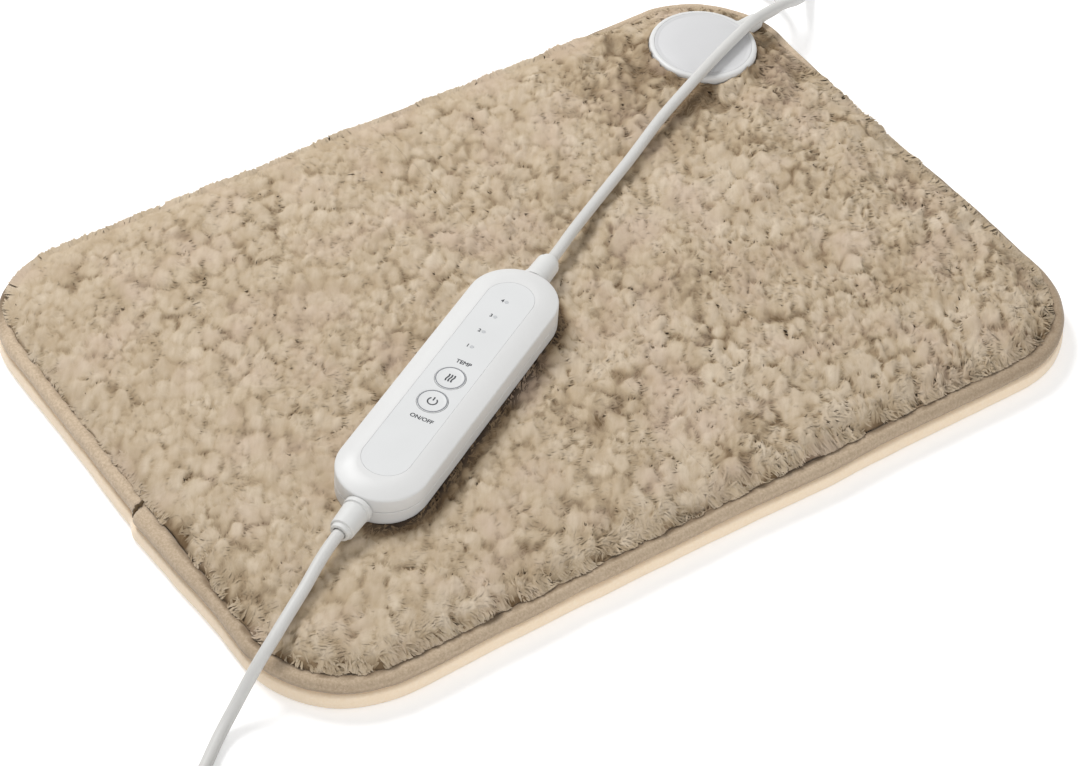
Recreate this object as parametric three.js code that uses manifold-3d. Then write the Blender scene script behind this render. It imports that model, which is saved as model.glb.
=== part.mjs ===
// Heating pad with an in-line controller, in millimetres, +Z up.
// The origin is on the table under the middle of the pad. +X runs along the pad's long side
// towards the round lead hub, and +Y towards the long edge that the hub is near.
import * as THREE from "three";
import { mergeVertices } from "three/addons/utils/BufferGeometryUtils.js";
import Module from "manifold-3d";

const wasm = await Module();
wasm.setup();

// Clearances that every assembly shares
const fit = 0.3;
const overrun = 1;

// Pad outline and its layers, from the table up
const padLength = 440;
const padWidth = 303;
const padCorner = 51;
const backingCloth = 1.2;
const backingHeight = 8.3;
const backingEdge = 1.2;
const backingRound = 1.7;
const waddingHeight = 7.4;
const carrierThickness = 0.6;
const wireDiameter = 1.8;
const hemThickness = 0.65;
const flangeThickness = 0.75;
const plushHeight = 11.4;
const plushShoulder = 34;

// Folded edge binding
const bindingWidth = 7;
const bindingDepth = 3;
const bindingCloth = 2.15;

// Heating wire and its two thermostats
const wireRuns = 8;
const wireSideMargin = 32;
const wireEndMargin = 32;
const wireReturnMargin = 15;
const thermostatLength = 12;
const thermostatWidth = 5;
const thermostatHeight = 3;
const thermostatSpan = 180;

// Round lead hub on the pad
const hubCornerInset = 48.4;
const hubRadius = 27.2;
const hubRimHeight = 7.9;
const hubBaseHeight = 6.8;
const hubBaseStep = 2.4;
const hubWall = 1.6;
const hubEdgeRound = 1.9;
const hubLidMargin = 2.9;
const hubLidThickness = 2.6;
const hubShelfWidth = 3.3;
const hubShelfThickness = 1.8;
const hubBoardRadius = 16;
const hubBoardThickness = 1.2;
const hubPostHeight = 1.1;
const hubPostRadius = 4;
const hubScrewCircle = 20;
const hubScrewCount = 3;
const hubBossRadius = 3;
const hubGlandAngle = 10.5;
const hubGlandHeight = 20;
const hubGlandReach = 41.1;
const hubGlandNeck = 3.7;
const hubGlandRoot = 5.4;
const hubGlandTip = 4.2;
const hubGlandFlange = 4.6;
const hubGlandFlangeDepth = 2.2;
const hubTailLength = 31;
const thermalFuseDiameter = 4;
const thermalFuseLength = 10;
const thermalFuseOffset = 7;

// Controller housing, in its own frame: U along its length towards the pad's hub, height from its floor
const controllerX = -74;
const controllerY = -37;
const controllerTurn = 28;
const controllerSink = 2.1;
const controllerLength = 161;
const controllerWidth = 42.5;
const controllerHeight = 18.5;
const controllerWall = 1.8;
const partingHeight = 8.5;
const shoulderDrop = 2.5;
const shoulderRound = 1.2;
const baseRound = 3;
const panelEndMargin = 13;
const panelSideMargin = 9.95;
const panelThickness = 0.7;
const bossEndMargin = 16.5;
const bossSideMargin = 9.25;
const bossRadius = 4;
const standoffInset = 5;
const standoffRadius = 2.5;
const standoffHeight = 2.1;

// Buttons and indicator lights
const buttonU = -1.3;
const buttonSpacing = 16.4;
const buttonV = -0.8;
const buttonRadius = 7;
const buttonEar = 0.9;
const buttonEarThickness = 1.2;
const buttonProud = 0.3;
const buttonEdge = 0.4;
const buttonPostRadius = 1.8;
const buttonTravel = 0.6;
const switchSize = 6;
const switchHeight = 3.5;
const plungerRadius = 1.6;
const plungerProud = 0.8;
const plungerSeat = 1.6;
const lightCount = 4;
const lightEndMargin = 26.4;
const lightToButton = 22.2;
const lightV = 0.3;
const lightRadius = 0.9;
const lightBodyRadius = 1.8;
const ledLength = 3;
const ledWidth = 2;
const ledHeight = 1.6;

// Circuit board and what stands on it
const boardEndMargin = 15.5;
const boardSideMargin = 6.25;
const boardTongueLength = 7;
const boardTongueWidth = 12;
const boardThickness = 1.6;
const terminalLength = 7;
const terminalWidth = 10;
const terminalHeadroom = 2.8;
const terminalSetback = 0.2;
const tallHeadroom = 1.2;
const triacLength = 4.6;
const triacWidth = 10;
const capacitorLength = 13;
const capacitorWidth = 6;
const fuseDiameter = 5.2;
const fuseLength = 14;
const microcontrollerLength = 10;
const microcontrollerWidth = 7.5;
const microcontrollerHeight = 1.8;

// Strain-relief boots of the controller
const bootRise = 0.5;
const bootLength = 16.87;
const bootNeck = 4.2;
const bootCollar = 6.6;
const bootCollarLength = 2.4;
const bootRoot = 6;
const bootEnd = 5.5;
const bootLip = 4.5;
const bootLipLength = 2.2;
const bootFlange = 4.9;
const bootFlangeDepth = 2.4;

// Screws
const screwHeadRadius = 2.3;
const screwHeadHeight = 1.6;
const screwShankRadius = 1.1;
const screwRecess = 0.6;

// Cords
const cordDiameter = 5.4;
const coilX = -262.4;
const coilY = -197.3;
const coilOuterRadius = 43.2;
const coilPitch = 6;
const coilLayerRise = 6;
const coilEntryAngle = 129;
const coilInwardTurns = 3.5;
const coilClimbTurns = 0.5;
const coilOutwardTurns = 3.3917;
const coilDip = 1.5;
const tieThickness = 0.6;
const tieWidth = 8;
const tieTurn = 0.25;
const tieMargin = 1;

// Mains plug at the end of the coil
const plugBootLength = 25;
const plugBootTip = 3.6;
const plugBootRoot = 5.4;
const plugLength = 35;
const plugWidth = 26;
const plugCorner = 5;
const plugEdge = 2;
const plugWaist = 2.4;
const plugWaistPlace = 14;
const pinLength = 19;
const pinRadius = 2;
const pinSpacing = 18.6;

// The lead from the controller over the hub, round a loop beside the pad and back into the hub's gland
const padLeadRoute = [
  [12.5, 9, 30.5], [17.3, 11.5, 30.5], [33.4, 21.2, 29.2], [60, 35.9, 27.6], [88.3, 50.7, 27.2],
  [117.9, 65.9, 29], [143.5, 76.9, 31], [169.4, 88.4, 31], [189.5, 96.6, 31], [201, 101.4, 30.2],
  [212.8, 105.7, 27.8], [229.6, 110.2, 24], [243, 117, 16], [256, 126, 8], [268, 136.5, 3.3],
  [278.6, 150.5, 2.8], [286.2, 168.7, 2.8], [285.5, 178.6, 2.8], [280.8, 187.4, 2.8],
  [272.9, 193.6, 2.8], [263.2, 196, 2.8], [253.4, 194.3, 2.8], [245.1, 188.7, 2.8], [239.8, 180.2, 2.8],
  [238.5, 170.3, 2.8], [240.6, 158, 2.8], [243.2, 147, 3.8], [243.8, 136.5, 7.4], [240.4, 126.5, 11.8],
  [234.6, 119, 15.8], [226.8, 114.2, 18.6], [217.61, 111.62, 20], [212.31, 110.64, 20],
];

// The mains lead from the controller over the pad's short edge to the table and the coil
const mainsLeadRoute = [
  [-160.5, -83, 30.5], [-166, -85.9, 30.4], [-174, -90.4, 29.4], [-186.4, -98.1, 27],
  [-198.3, -105.6, 26.2], [-209.6, -112.3, 24.4], [-220.4, -117.3, 19.6], [-228, -120.4, 14],
  [-235.7, -123.9, 8.6], [-242.4, -127.4, 5.2], [-249.4, -132.1, 3.5], [-259.4, -140.3, 3.4],
  [-270, -148.6, 3.6], [-277.6, -154.5, 3.6], [-285.16, -160.13, 3.6],
];

// Shares of a size, chosen by hand
const plushInsetShares = [0.01, 0.03, 0.11, 0.24, 0.45, 0.72, 1];
const plushRiseShares = [0.3, 0.46, 0.66, 0.81, 0.91, 0.97, 1];
const roundShares = [[0, 0], [0.13, 0.5], [0.5, 0.87], [1, 1]];
const faceBulgeShares = [0.5, 0.62];
const triacShares = [-0.52, 0.55];
const capacitorShares = [-0.76, -0.47];
const fuseShares = [-0.79, 0.33];
const microcontrollerShares = [0.59, -0.63];
const roundEndShare = 0.999;

// How finely curves are cut
const cornerSteps = 6;
const hubSides = 36;
const roundSides = 20;
const tubeSides = 8;
const smallSides = 10;
const coilSides = 6;
const coilStepsPerTurn = 24;
const bendSteps = 5;
const padLeadSteps = 44;
const mainsRunSteps = 16;
const gapStepsPerTurn = 96;

// Heights that follow from the layers
const waddingFloor = backingCloth + fit;
const waddingTop = waddingFloor + waddingHeight;
const carrierFloor = waddingTop + fit;
const carrierTop = carrierFloor + carrierThickness;
const wireHeight = carrierTop + fit + wireDiameter / 2;
const plushFloor = wireHeight + wireDiameter / 2 + fit;
const hemTop = plushFloor + hemThickness;
const slotTop = hemTop + fit;
const flangeTop = plushFloor - fit;
const flangeBottom = flangeTop - flangeThickness;
const slotBottom = flangeBottom - fit;
const bindingTop = slotTop + bindingCloth;
const bindingFloor = backingHeight + fit;
const plushTop = plushFloor + plushHeight;
const hemInset = bindingDepth + fit;
const throatInset = bindingWidth + fit;
const layerInset = throatInset + backingCloth + fit;
const controllerFloor = plushTop - controllerSink;
const hubX = padLength / 2 - hubCornerInset;
const hubY = padWidth / 2 - hubCornerInset;
const hubBaseTop = plushFloor + hubBaseHeight;
const hubRimFloor = hubBaseTop + fit;
const hubTop = hubRimFloor + hubRimHeight;
const cordRadius = cordDiameter / 2;
const boreRadius = cordRadius + fit;
const coilInnerRadius = coilOuterRadius - coilPitch * coilInwardTurns;
const coilFloor = tieThickness + fit + cordRadius;
const plugHeight = coilFloor + coilLayerRise;

// Finishes
function finish(color, roughness, metalness = 0) {
  return new THREE.MeshStandardMaterial({ color, roughness, metalness });
}
const finishes = {
  plush: finish(0xc9b597, 1),
  binding: finish(0xb9a688, 0.95),
  backing: finish(0xf1e3cd, 0.95),
  wadding: finish(0xf2f0ea, 1),
  carrier: finish(0xe6e2d6, 0.95),
  wire: finish(0xd8d4c8, 0.6),
  shell: finish(0xebebe9, 0.35),
  panel: finish(0xe9eaea, 0.3),
  rubber: finish(0xe4e4e2, 0.5),
  cord: finish(0xe6e6e4, 0.45),
  steel: finish(0xb8bbbe, 0.35, 1),
  nickel: finish(0xc9cac6, 0.25, 1),
  board: finish(0x2f7a48, 0.55),
  dark: finish(0x26282b, 0.5),
  clear: finish(0xf4f6f2, 0.2),
  led: finish(0xe2c04a, 0.3),
  ceramic: finish(0xd9d2c0, 0.5),
};

// Closed bodies made from rings of points

function bodyFrom(points, faces) {
  const geometry = new THREE.BufferGeometry();
  geometry.setAttribute("position", new THREE.Float32BufferAttribute(points.flat(), 3));
  geometry.setIndex(faces.flat());
  return geometry;
}

function signedVolume(points, faces) {
  const corner = faces.map((face) => face.map((i) => new THREE.Vector3(...points[i])));
  return corner.reduce((sum, [a, b, c]) => sum + a.dot(b.cross(c)), 0);
}

// Rings with equal point counts, joined in order. A closed body of rings bites its own tail,
// and an open one is capped by a fan at each end.
function ringBody(rings, closed) {
  const count = rings[0].length;
  const points = rings.flat();
  const faces = [];
  const joints = closed ? rings.length : rings.length - 1;
  for (let i = 0; i < joints; i += 1) {
    const near = i * count;
    const far = ((i + 1) % rings.length) * count;
    for (let j = 0; j < count; j += 1) {
      const next = (j + 1) % count;
      faces.push([near + j, near + next, far + next]);
      faces.push([near + j, far + next, far + j]);
    }
  }
  if (!closed) {
    [0, rings.length - 1].forEach((index) => {
      const ring = rings[index];
      const middle = [0, 1, 2].map((axis) => ring.reduce((sum, p) => sum + p[axis], 0) / count);
      points.push(middle);
      for (let j = 0; j < count; j += 1) {
        const edge = [index * count + j, index * count + ((j + 1) % count)];
        faces.push(index === 0 ? [points.length - 1, edge[1], edge[0]] : [points.length - 1, ...edge]);
      }
    });
  }
  if (signedVolume(points, faces) < 0) {
    faces.forEach((face) => face.reverse());
  }
  return bodyFrom(points, faces);
}

// The outline of a rounded rectangle, drawn in by an inset
function roundedRing(shape, inset, height) {
  const radius = shape.corner - inset;
  const halfX = shape.length / 2 - shape.corner;
  const halfY = shape.width / 2 - shape.corner;
  const roundEnds = shape.corner > roundEndShare * shape.width / 2;
  const ring = [];
  [[1, 1], [-1, 1], [-1, -1], [1, -1]].forEach(([sideX, sideY], quarter) => {
    const firstStep = roundEnds && quarter % 2 === 0 ? 1 : 0;
    for (let step = firstStep; step <= cornerSteps; step += 1) {
      const angle = (quarter + step / cornerSteps) * Math.PI / 2;
      ring.push([
        sideX * halfX + radius * Math.cos(angle),
        sideY * halfY + radius * Math.sin(angle),
        height,
      ]);
    }
  });
  return ring;
}

function roundedBody(shape, profile, closed = false) {
  return ringBody(profile.map(([inset, height]) => roundedRing(shape, inset, height)), closed);
}

function roundedPlate(shape, inset, floor, top) {
  return roundedBody(shape, [[inset, floor], [inset, top]]);
}

// Turned bodies about +Z. A profile point is [radius, height].
function turned(profile, sides = roundSides) {
  const points = profile.map(([radius, height]) => new THREE.Vector2(radius, height));
  return new THREE.LatheGeometry(points, sides).rotateX(Math.PI / 2);
}

function disc(radius, floor, top, sides = roundSides) {
  return turned([[0, floor], [radius, floor], [radius, top], [0, top]], sides);
}

function block(length, width, floor, top) {
  return new THREE.BoxGeometry(length, width, top - floor).translate(0, 0, (floor + top) / 2);
}

// A turned body laid along +X at a height
function alongX(geometry, height) {
  return geometry.rotateY(Math.PI / 2).translate(0, 0, height);
}

function moved(geometry, x, y, z = 0) {
  return geometry.translate(x, y, z);
}

// Joins and cuts

function solidOf(geometry) {
  const bare = geometry.clone();
  bare.deleteAttribute("normal");
  bare.deleteAttribute("uv");
  const merged = mergeVertices(bare);
  const corners = merged.index.array;
  const kept = [];
  for (let i = 0; i < corners.length; i += 3) {
    const [a, b, c] = [corners[i], corners[i + 1], corners[i + 2]];
    if (a !== b && b !== c && c !== a) {
      kept.push(a, b, c);
    }
  }
  return new wasm.Manifold(new wasm.Mesh({
    numProp: 3,
    vertProperties: new Float32Array(merged.attributes.position.array),
    triVerts: new Uint32Array(kept),
  }));
}

function geometryOf(solid) {
  const mesh = solid.getMesh();
  const geometry = new THREE.BufferGeometry();
  geometry.setAttribute("position", new THREE.BufferAttribute(mesh.vertProperties, 3));
  geometry.setIndex(new THREE.BufferAttribute(mesh.triVerts, 1));
  return geometry;
}

function shaped(body, { joined = [], cuts = [] }) {
  let solid = solidOf(body);
  joined.forEach((extra) => {
    solid = solid.add(solidOf(extra));
  });
  cuts.forEach((tool) => {
    solid = solid.subtract(solidOf(tool));
  });
  return geometryOf(solid);
}

// Tubes

function sectionShape(radius, sides) {
  const shape = new THREE.Shape();
  for (let side = 0; side < sides; side += 1) {
    const angle = (side / sides) * 2 * Math.PI;
    const point = [radius * Math.cos(angle), radius * Math.sin(angle)];
    if (side === 0) {
      shape.moveTo(...point);
    } else {
      shape.lineTo(...point);
    }
  }
  shape.closePath();
  return shape;
}

function cordTube(route, steps) {
  const path = new THREE.CatmullRomCurve3(
    route.map((point) => new THREE.Vector3(...point)), false, "centripetal");
  return new THREE.ExtrudeGeometry(sectionShape(cordRadius, tubeSides), {
    steps, extrudePath: path, bevelEnabled: false,
  });
}

// A tube through every given point, with sections that stay upright
function pointTube(points, radius, sides) {
  const path = points.map((point) => new THREE.Vector3(...point));
  const upright = new THREE.Vector3(0, 0, 1);
  const rings = path.map((point, i) => {
    const before = path[Math.max(i - 1, 0)];
    const after = path[Math.min(i + 1, path.length - 1)];
    const heading = after.clone().sub(before).normalize();
    const side = heading.clone().cross(upright).normalize();
    const rise = side.clone().cross(heading);
    return Array.from({ length: sides }, (unused, j) => {
      const angle = ((j + 0.5) / sides) * 2 * Math.PI;
      return point.clone()
        .addScaledVector(side, radius * Math.cos(angle))
        .addScaledVector(rise, radius * Math.sin(angle))
        .toArray();
    });
  });
  return ringBody(rings, false);
}

// The assembly

const assembly = new THREE.Group();

function addPiece(parent, name, geometry, material) {
  const mesh = new THREE.Mesh(geometry, material);
  mesh.name = name;
  parent.add(mesh);
  return mesh;
}

const padShape = { length: padLength, width: padWidth, corner: padCorner };

function buildBackingCover() {
  const inner = throatInset + backingCloth;
  const roof = backingHeight - backingCloth;
  addPiece(assembly, "backing_cover", roundedBody(padShape, [
    [backingEdge + backingRound, 0],
    [backingEdge + backingRound / 3, backingRound / 3],
    [backingEdge, backingRound],
    [backingEdge, backingHeight - backingRound],
    [backingEdge + backingRound / 3, backingHeight - backingRound / 3],
    [backingEdge + backingRound, backingHeight],
    [throatInset, backingHeight],
    [throatInset, flangeBottom],
    [hemInset, flangeBottom],
    [hemInset, flangeTop],
    [inner, flangeTop],
    [inner, roof],
    [backingEdge + backingCloth, roof],
    [backingEdge + backingCloth, backingCloth],
  ]), finishes.backing);
}

function buildEdgeBinding() {
  const bulge = bindingDepth;
  const height = bindingTop - bindingFloor;
  const middle = bindingFloor + height / 2;
  const side = [];
  for (let step = 0; step <= cornerSteps; step += 1) {
    const angle = (step / cornerSteps - 1 / 2) * Math.PI;
    side.push([bulge * (1 - Math.cos(angle)), middle + (height / 2) * Math.sin(angle)]);
  }
  addPiece(assembly, "edge_binding", roundedBody(padShape, [
    ...side,
    [bindingWidth, bindingTop],
    [bindingWidth, slotTop],
    [bindingDepth, slotTop],
    [bindingDepth, slotBottom],
    [bindingWidth, slotBottom],
    [bindingWidth, bindingFloor],
  ], true), finishes.binding);
}

// What the controller, the hub and the thermostats press into or stand in
function plushCuts() {
  const seat = {
    length: controllerLength + 2 * fit,
    width: controllerWidth + 2 * fit,
    corner: controllerWidth / 2 + fit,
  };
  const controllerSeat = roundedPlate(seat, 0, controllerFloor - fit, plushTop + overrun);
  controllerSeat.rotateZ(THREE.MathUtils.degToRad(controllerTurn));
  const hubHole = turned([
    [0, plushFloor - overrun],
    [hubRadius - hubBaseStep + fit, plushFloor - overrun],
    [hubRadius - hubBaseStep + fit, hubBaseTop],
    [hubRadius + fit, hubBaseTop],
    [hubRadius + fit, plushTop + overrun],
    [0, plushTop + overrun],
  ], hubSides);
  const glandSlot = block(hubCornerInset, 2 * (hubGlandRoot + fit), hubGlandHeight - hubGlandRoot - fit,
    plushTop + overrun);
  moved(glandSlot, hubCornerInset / 2, 0);
  const intoHub = (tool) => moved(tool.rotateZ(THREE.MathUtils.degToRad(hubGlandAngle)), hubX, hubY);
  const pockets = [-1, 1].map((side) => moved(
    block(thermostatLength + 2 * fit, thermostatWidth + 2 * fit, plushFloor - overrun,
      carrierTop + fit + thermostatHeight + fit),
    side * thermostatSpan / 2, 0));
  return [moved(controllerSeat, controllerX, controllerY), intoHub(hubHole), intoHub(glandSlot), ...pockets];
}

function buildPlushTop() {
  const rim = bindingWidth + fit;
  const crown = plushInsetShares.map((share, i) => [
    rim + share * plushShoulder,
    hemTop + plushRiseShares[i] * (plushTop - hemTop),
  ]);
  const body = roundedBody(padShape, [
    [rim + backingCloth, plushFloor],
    [hemInset, plushFloor],
    [hemInset, hemTop],
    [rim, hemTop],
    ...crown,
  ]);
  addPiece(assembly, "plush_top", shaped(body, { cuts: plushCuts() }), finishes.plush);
}

function wireRoute() {
  const spanY = padWidth - 2 * wireSideMargin;
  const pitch = spanY / (wireRuns - 1);
  const bend = pitch / 2;
  const endX = padLength / 2 - wireEndMargin - bend;
  const points = [];
  for (let run = 0; run < wireRuns; run += 1) {
    const y = spanY / 2 - run * pitch;
    const heading = run % 2 === 0 ? -1 : 1;
    const startX = run === 0 ? hubX : -heading * endX;
    points.push([startX, y, wireHeight]);
    const lastRun = run === wireRuns - 1;
    points.push([heading * endX, y, wireHeight]);
    for (let step = 1; step < bendSteps && !lastRun; step += 1) {
      const angle = (step / bendSteps) * Math.PI;
      points.push([
        heading * (endX + bend * Math.sin(angle)),
        y - bend * (1 - Math.cos(angle)),
        wireHeight,
      ]);
    }
  }
  // The last run turns up along the short edge and ends under the hub
  const returnX = padLength / 2 - wireReturnMargin;
  const turn = returnX - endX;
  const lastY = -spanY / 2;
  for (let step = 1; step <= bendSteps; step += 1) {
    const angle = (step / bendSteps) * Math.PI / 2;
    points.push([endX + turn * Math.sin(angle), lastY + turn * (1 - Math.cos(angle)), wireHeight]);
  }
  const inward = returnX - hubX;
  const fold = inward - hubBossRadius;
  for (let step = 0; step <= bendSteps; step += 1) {
    const angle = (step / bendSteps) * Math.PI / 2;
    points.push([
      returnX - fold * (1 - Math.cos(angle)),
      hubY - fold + fold * Math.sin(angle),
      wireHeight,
    ]);
  }
  return points;
}

function buildPadFilling() {
  addPiece(assembly, "lower_wadding", roundedPlate(padShape, layerInset, waddingFloor, waddingTop),
    finishes.wadding);
  addPiece(assembly, "heater_carrier", roundedPlate(padShape, layerInset, carrierFloor, carrierTop),
    finishes.carrier);
  addPiece(assembly, "heating_wire", pointTube(wireRoute(), wireDiameter / 2, coilSides), finishes.wire);
  ["a", "b"].forEach((letter, i) => {
    const place = addPiece(assembly, `thermostat_${letter}`, block(thermostatLength, thermostatWidth,
      carrierTop + fit, carrierTop + fit + thermostatHeight), finishes.dark);
    place.position.set((2 * i - 1) * thermostatSpan / 2, 0, 0);
  });
}

// A pan-head screw that points up, with its head's face at a height
function screw(headFloor, top) {
  return turned([
    [0, headFloor],
    [screwHeadRadius, headFloor],
    [screwHeadRadius, headFloor + screwHeadHeight],
    [screwShankRadius, headFloor + screwHeadHeight],
    [screwShankRadius, top],
    [0, top],
  ], smallSides);
}

function screwHole(floor, seat, top) {
  return [
    disc(screwHeadRadius + fit, floor - overrun, seat + fit, smallSides),
    disc(screwShankRadius + fit, floor - overrun, top, smallSides),
  ];
}

function circlePlaces(count, radius, firstAngle) {
  return Array.from({ length: count }, (unused, i) => {
    const angle = firstAngle + (i / count) * 2 * Math.PI;
    return [radius * Math.cos(angle), radius * Math.sin(angle)];
  });
}

// A grommet along +X, outwards from a wall: inner flange, neck in the wall, tapered outside, cord bore
function strainRelief(stations) {
  const first = stations[0][1];
  const last = stations[stations.length - 1][1];
  return turned([[boreRadius, first], ...stations, [boreRadius, last], [boreRadius, first]]);
}

function buildHub() {
  const hub = new THREE.Group();
  hub.position.set(hubX, hubY, 0);
  hub.rotation.z = THREE.MathUtils.degToRad(hubGlandAngle);
  assembly.add(hub);

  const baseRadius = hubRadius - hubBaseStep;
  const floorTop = plushFloor + hubWall;
  const lidFloor = hubTop - hubLidThickness;
  const lidRadius = hubRadius - hubLidMargin;
  const shelfRadius = lidRadius + fit - hubShelfWidth;
  const shelfTop = lidFloor - fit;
  const shelfFloor = shelfTop - hubShelfThickness;
  const rimInner = baseRadius - hubWall;
  const places = circlePlaces(hubScrewCount, hubScrewCircle, Math.PI / 2);
  const seat = plushFloor + screwRecess + screwHeadHeight;
  const screwTop = shelfTop - hubShelfThickness / 2;
  const holes = places.flatMap(([x, y]) => screwHole(plushFloor, seat, screwTop + fit)
    .map((tool) => moved(tool, x, y)));
  const neckHole = alongX(disc(hubGlandNeck + fit, hubScrewCircle, hubRadius + overrun), hubGlandHeight);
  const flangeRoom = alongX(disc(hubGlandFlange + fit, 0, shelfRadius), hubGlandHeight);

  const cup = turned([
    [0, plushFloor], [baseRadius, plushFloor], [baseRadius, hubBaseTop],
    [rimInner, hubBaseTop], [rimInner, floorTop], [0, floorTop],
  ], hubSides);
  addPiece(hub, "hub_base", shaped(cup, {
    joined: [
      ...places.map(([x, y]) => moved(disc(hubBossRadius, plushFloor, hubBaseTop, smallSides), x, y)),
      disc(hubPostRadius, plushFloor, floorTop + hubPostHeight, smallSides),
    ],
    cuts: [...holes, neckHole],
  }), finishes.shell);

  const ring = turned([
    [rimInner, hubRimFloor], [hubRadius, hubRimFloor],
    ...roundShares.map(([inShare, upShare]) => [
      hubRadius - inShare * hubEdgeRound,
      hubTop - (1 - upShare) * hubEdgeRound,
    ]),
    [lidRadius + fit, hubTop], [lidRadius + fit, shelfTop], [shelfRadius, shelfTop],
    [shelfRadius, shelfFloor], [rimInner, shelfFloor], [rimInner, hubRimFloor],
  ], hubSides);
  addPiece(hub, "hub_rim", shaped(ring, {
    joined: places.map(([x, y]) => moved(disc(hubBossRadius, hubRimFloor, shelfTop, smallSides), x, y)),
    cuts: [...holes, neckHole, flangeRoom],
  }), finishes.shell);

  addPiece(hub, "hub_lid", turned([
    [0, lidFloor], [lidRadius, lidFloor], [lidRadius, hubTop - fit],
    [lidRadius - fit, hubTop], [0, hubTop],
  ], hubSides), finishes.shell);

  const boardFloor = floorTop + hubPostHeight + fit;
  const boardTop = boardFloor + hubBoardThickness;
  addPiece(hub, "hub_board", disc(hubBoardRadius, boardFloor, boardTop), finishes.board);
  const fuse = alongX(disc(thermalFuseDiameter / 2, -thermalFuseLength / 2, thermalFuseLength / 2, smallSides),
    boardTop + fit + thermalFuseDiameter / 2);
  addPiece(hub, "hub_thermal_fuse", fuse.rotateZ(Math.PI / 2), finishes.ceramic)
    .position.set(-thermalFuseOffset, 0, 0);

  const flangeEnd = shelfRadius - fit;
  addPiece(hub, "hub_gland", alongX(strainRelief([
    [hubGlandFlange, flangeEnd - hubGlandFlangeDepth],
    [hubGlandFlange, flangeEnd],
    [hubGlandNeck, flangeEnd],
    [hubGlandNeck, hubRadius + fit],
    [hubGlandRoot, hubRadius + fit],
    [hubGlandTip, hubGlandReach],
  ]), hubGlandHeight), finishes.rubber);
  addPiece(hub, "hub_tail", alongX(disc(cordRadius, hubGlandReach - hubTailLength, hubGlandReach, tubeSides),
    hubGlandHeight), finishes.cord);
  places.forEach(([x, y], i) => {
    addPiece(hub, `hub_screw_${i + 1}`, screw(plushFloor + screwRecess, screwTop), finishes.steel)
      .position.set(x, y, 0);
  });
}

const halfLength = controllerLength / 2;
const halfWidth = controllerWidth / 2;
const panelWidth = controllerWidth - 2 * panelSideMargin;
const controllerShape = { length: controllerLength, width: controllerWidth, corner: halfWidth };
const panelShape = {
  length: controllerLength - 2 * panelEndMargin, width: panelWidth, corner: panelWidth / 2,
};
const shoulderHeight = controllerHeight - shoulderDrop;
const faceMargin = panelSideMargin - fit;
const baseTop = partingHeight - fit / 2;
const coverFloor = partingHeight + fit / 2;
const recessFloor = controllerHeight - panelThickness - fit;
const ceiling = recessFloor - controllerWall;
const boardFloor = controllerWall + standoffHeight + fit;
const partFloor = boardFloor + boardThickness + fit;
const ledTop = partFloor + ledHeight;
const switchTop = partFloor + switchHeight;
const screwSeat = screwRecess + screwHeadHeight;
const screwTip = ceiling - controllerWall;
const boardEnd = halfLength - boardEndMargin;
const boardBody = boardEnd - boardTongueLength;
const boardSide = halfWidth - boardSideMargin;
const terminalU = boardEnd - terminalLength / 2 - terminalSetback;
const bootHeight = partingHeight + bootRise;
const bootReach = halfLength + fit + bootLength;
const buttonPlaces = [0, 1].map((i) => [buttonU - i * buttonSpacing, buttonV]);
const firstLight = halfLength - lightEndMargin;
const lastLight = buttonU + lightToButton;
const lightPlaces = Array.from({ length: lightCount }, (unused, i) => [
  firstLight + (lastLight - firstLight) * i / (lightCount - 1), lightV,
]);

function fourPlaces(u, v) {
  return [-1, 1].flatMap((sideU) => [-1, 1].map((sideV) => [sideU * u, sideV * v]));
}

const screwPlaces = fourPlaces(halfLength - bossEndMargin, halfWidth - bossSideMargin);
const standoffPlaces = fourPlaces(boardBody - 2 * standoffInset, boardSide - standoffInset);

function atPlaces(places, make) {
  return places.map(([u, v]) => moved(make(), u, v));
}

// The screws' holes and the bore that both boots' necks sit in
function housingCuts() {
  const reach = halfLength + overrun;
  return [
    ...screwPlaces.flatMap(([u, v]) => screwHole(0, screwSeat, screwTip + fit)
      .map((tool) => moved(tool, u, v))),
    alongX(disc(bootNeck + fit, -reach, reach), bootHeight),
  ];
}

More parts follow.
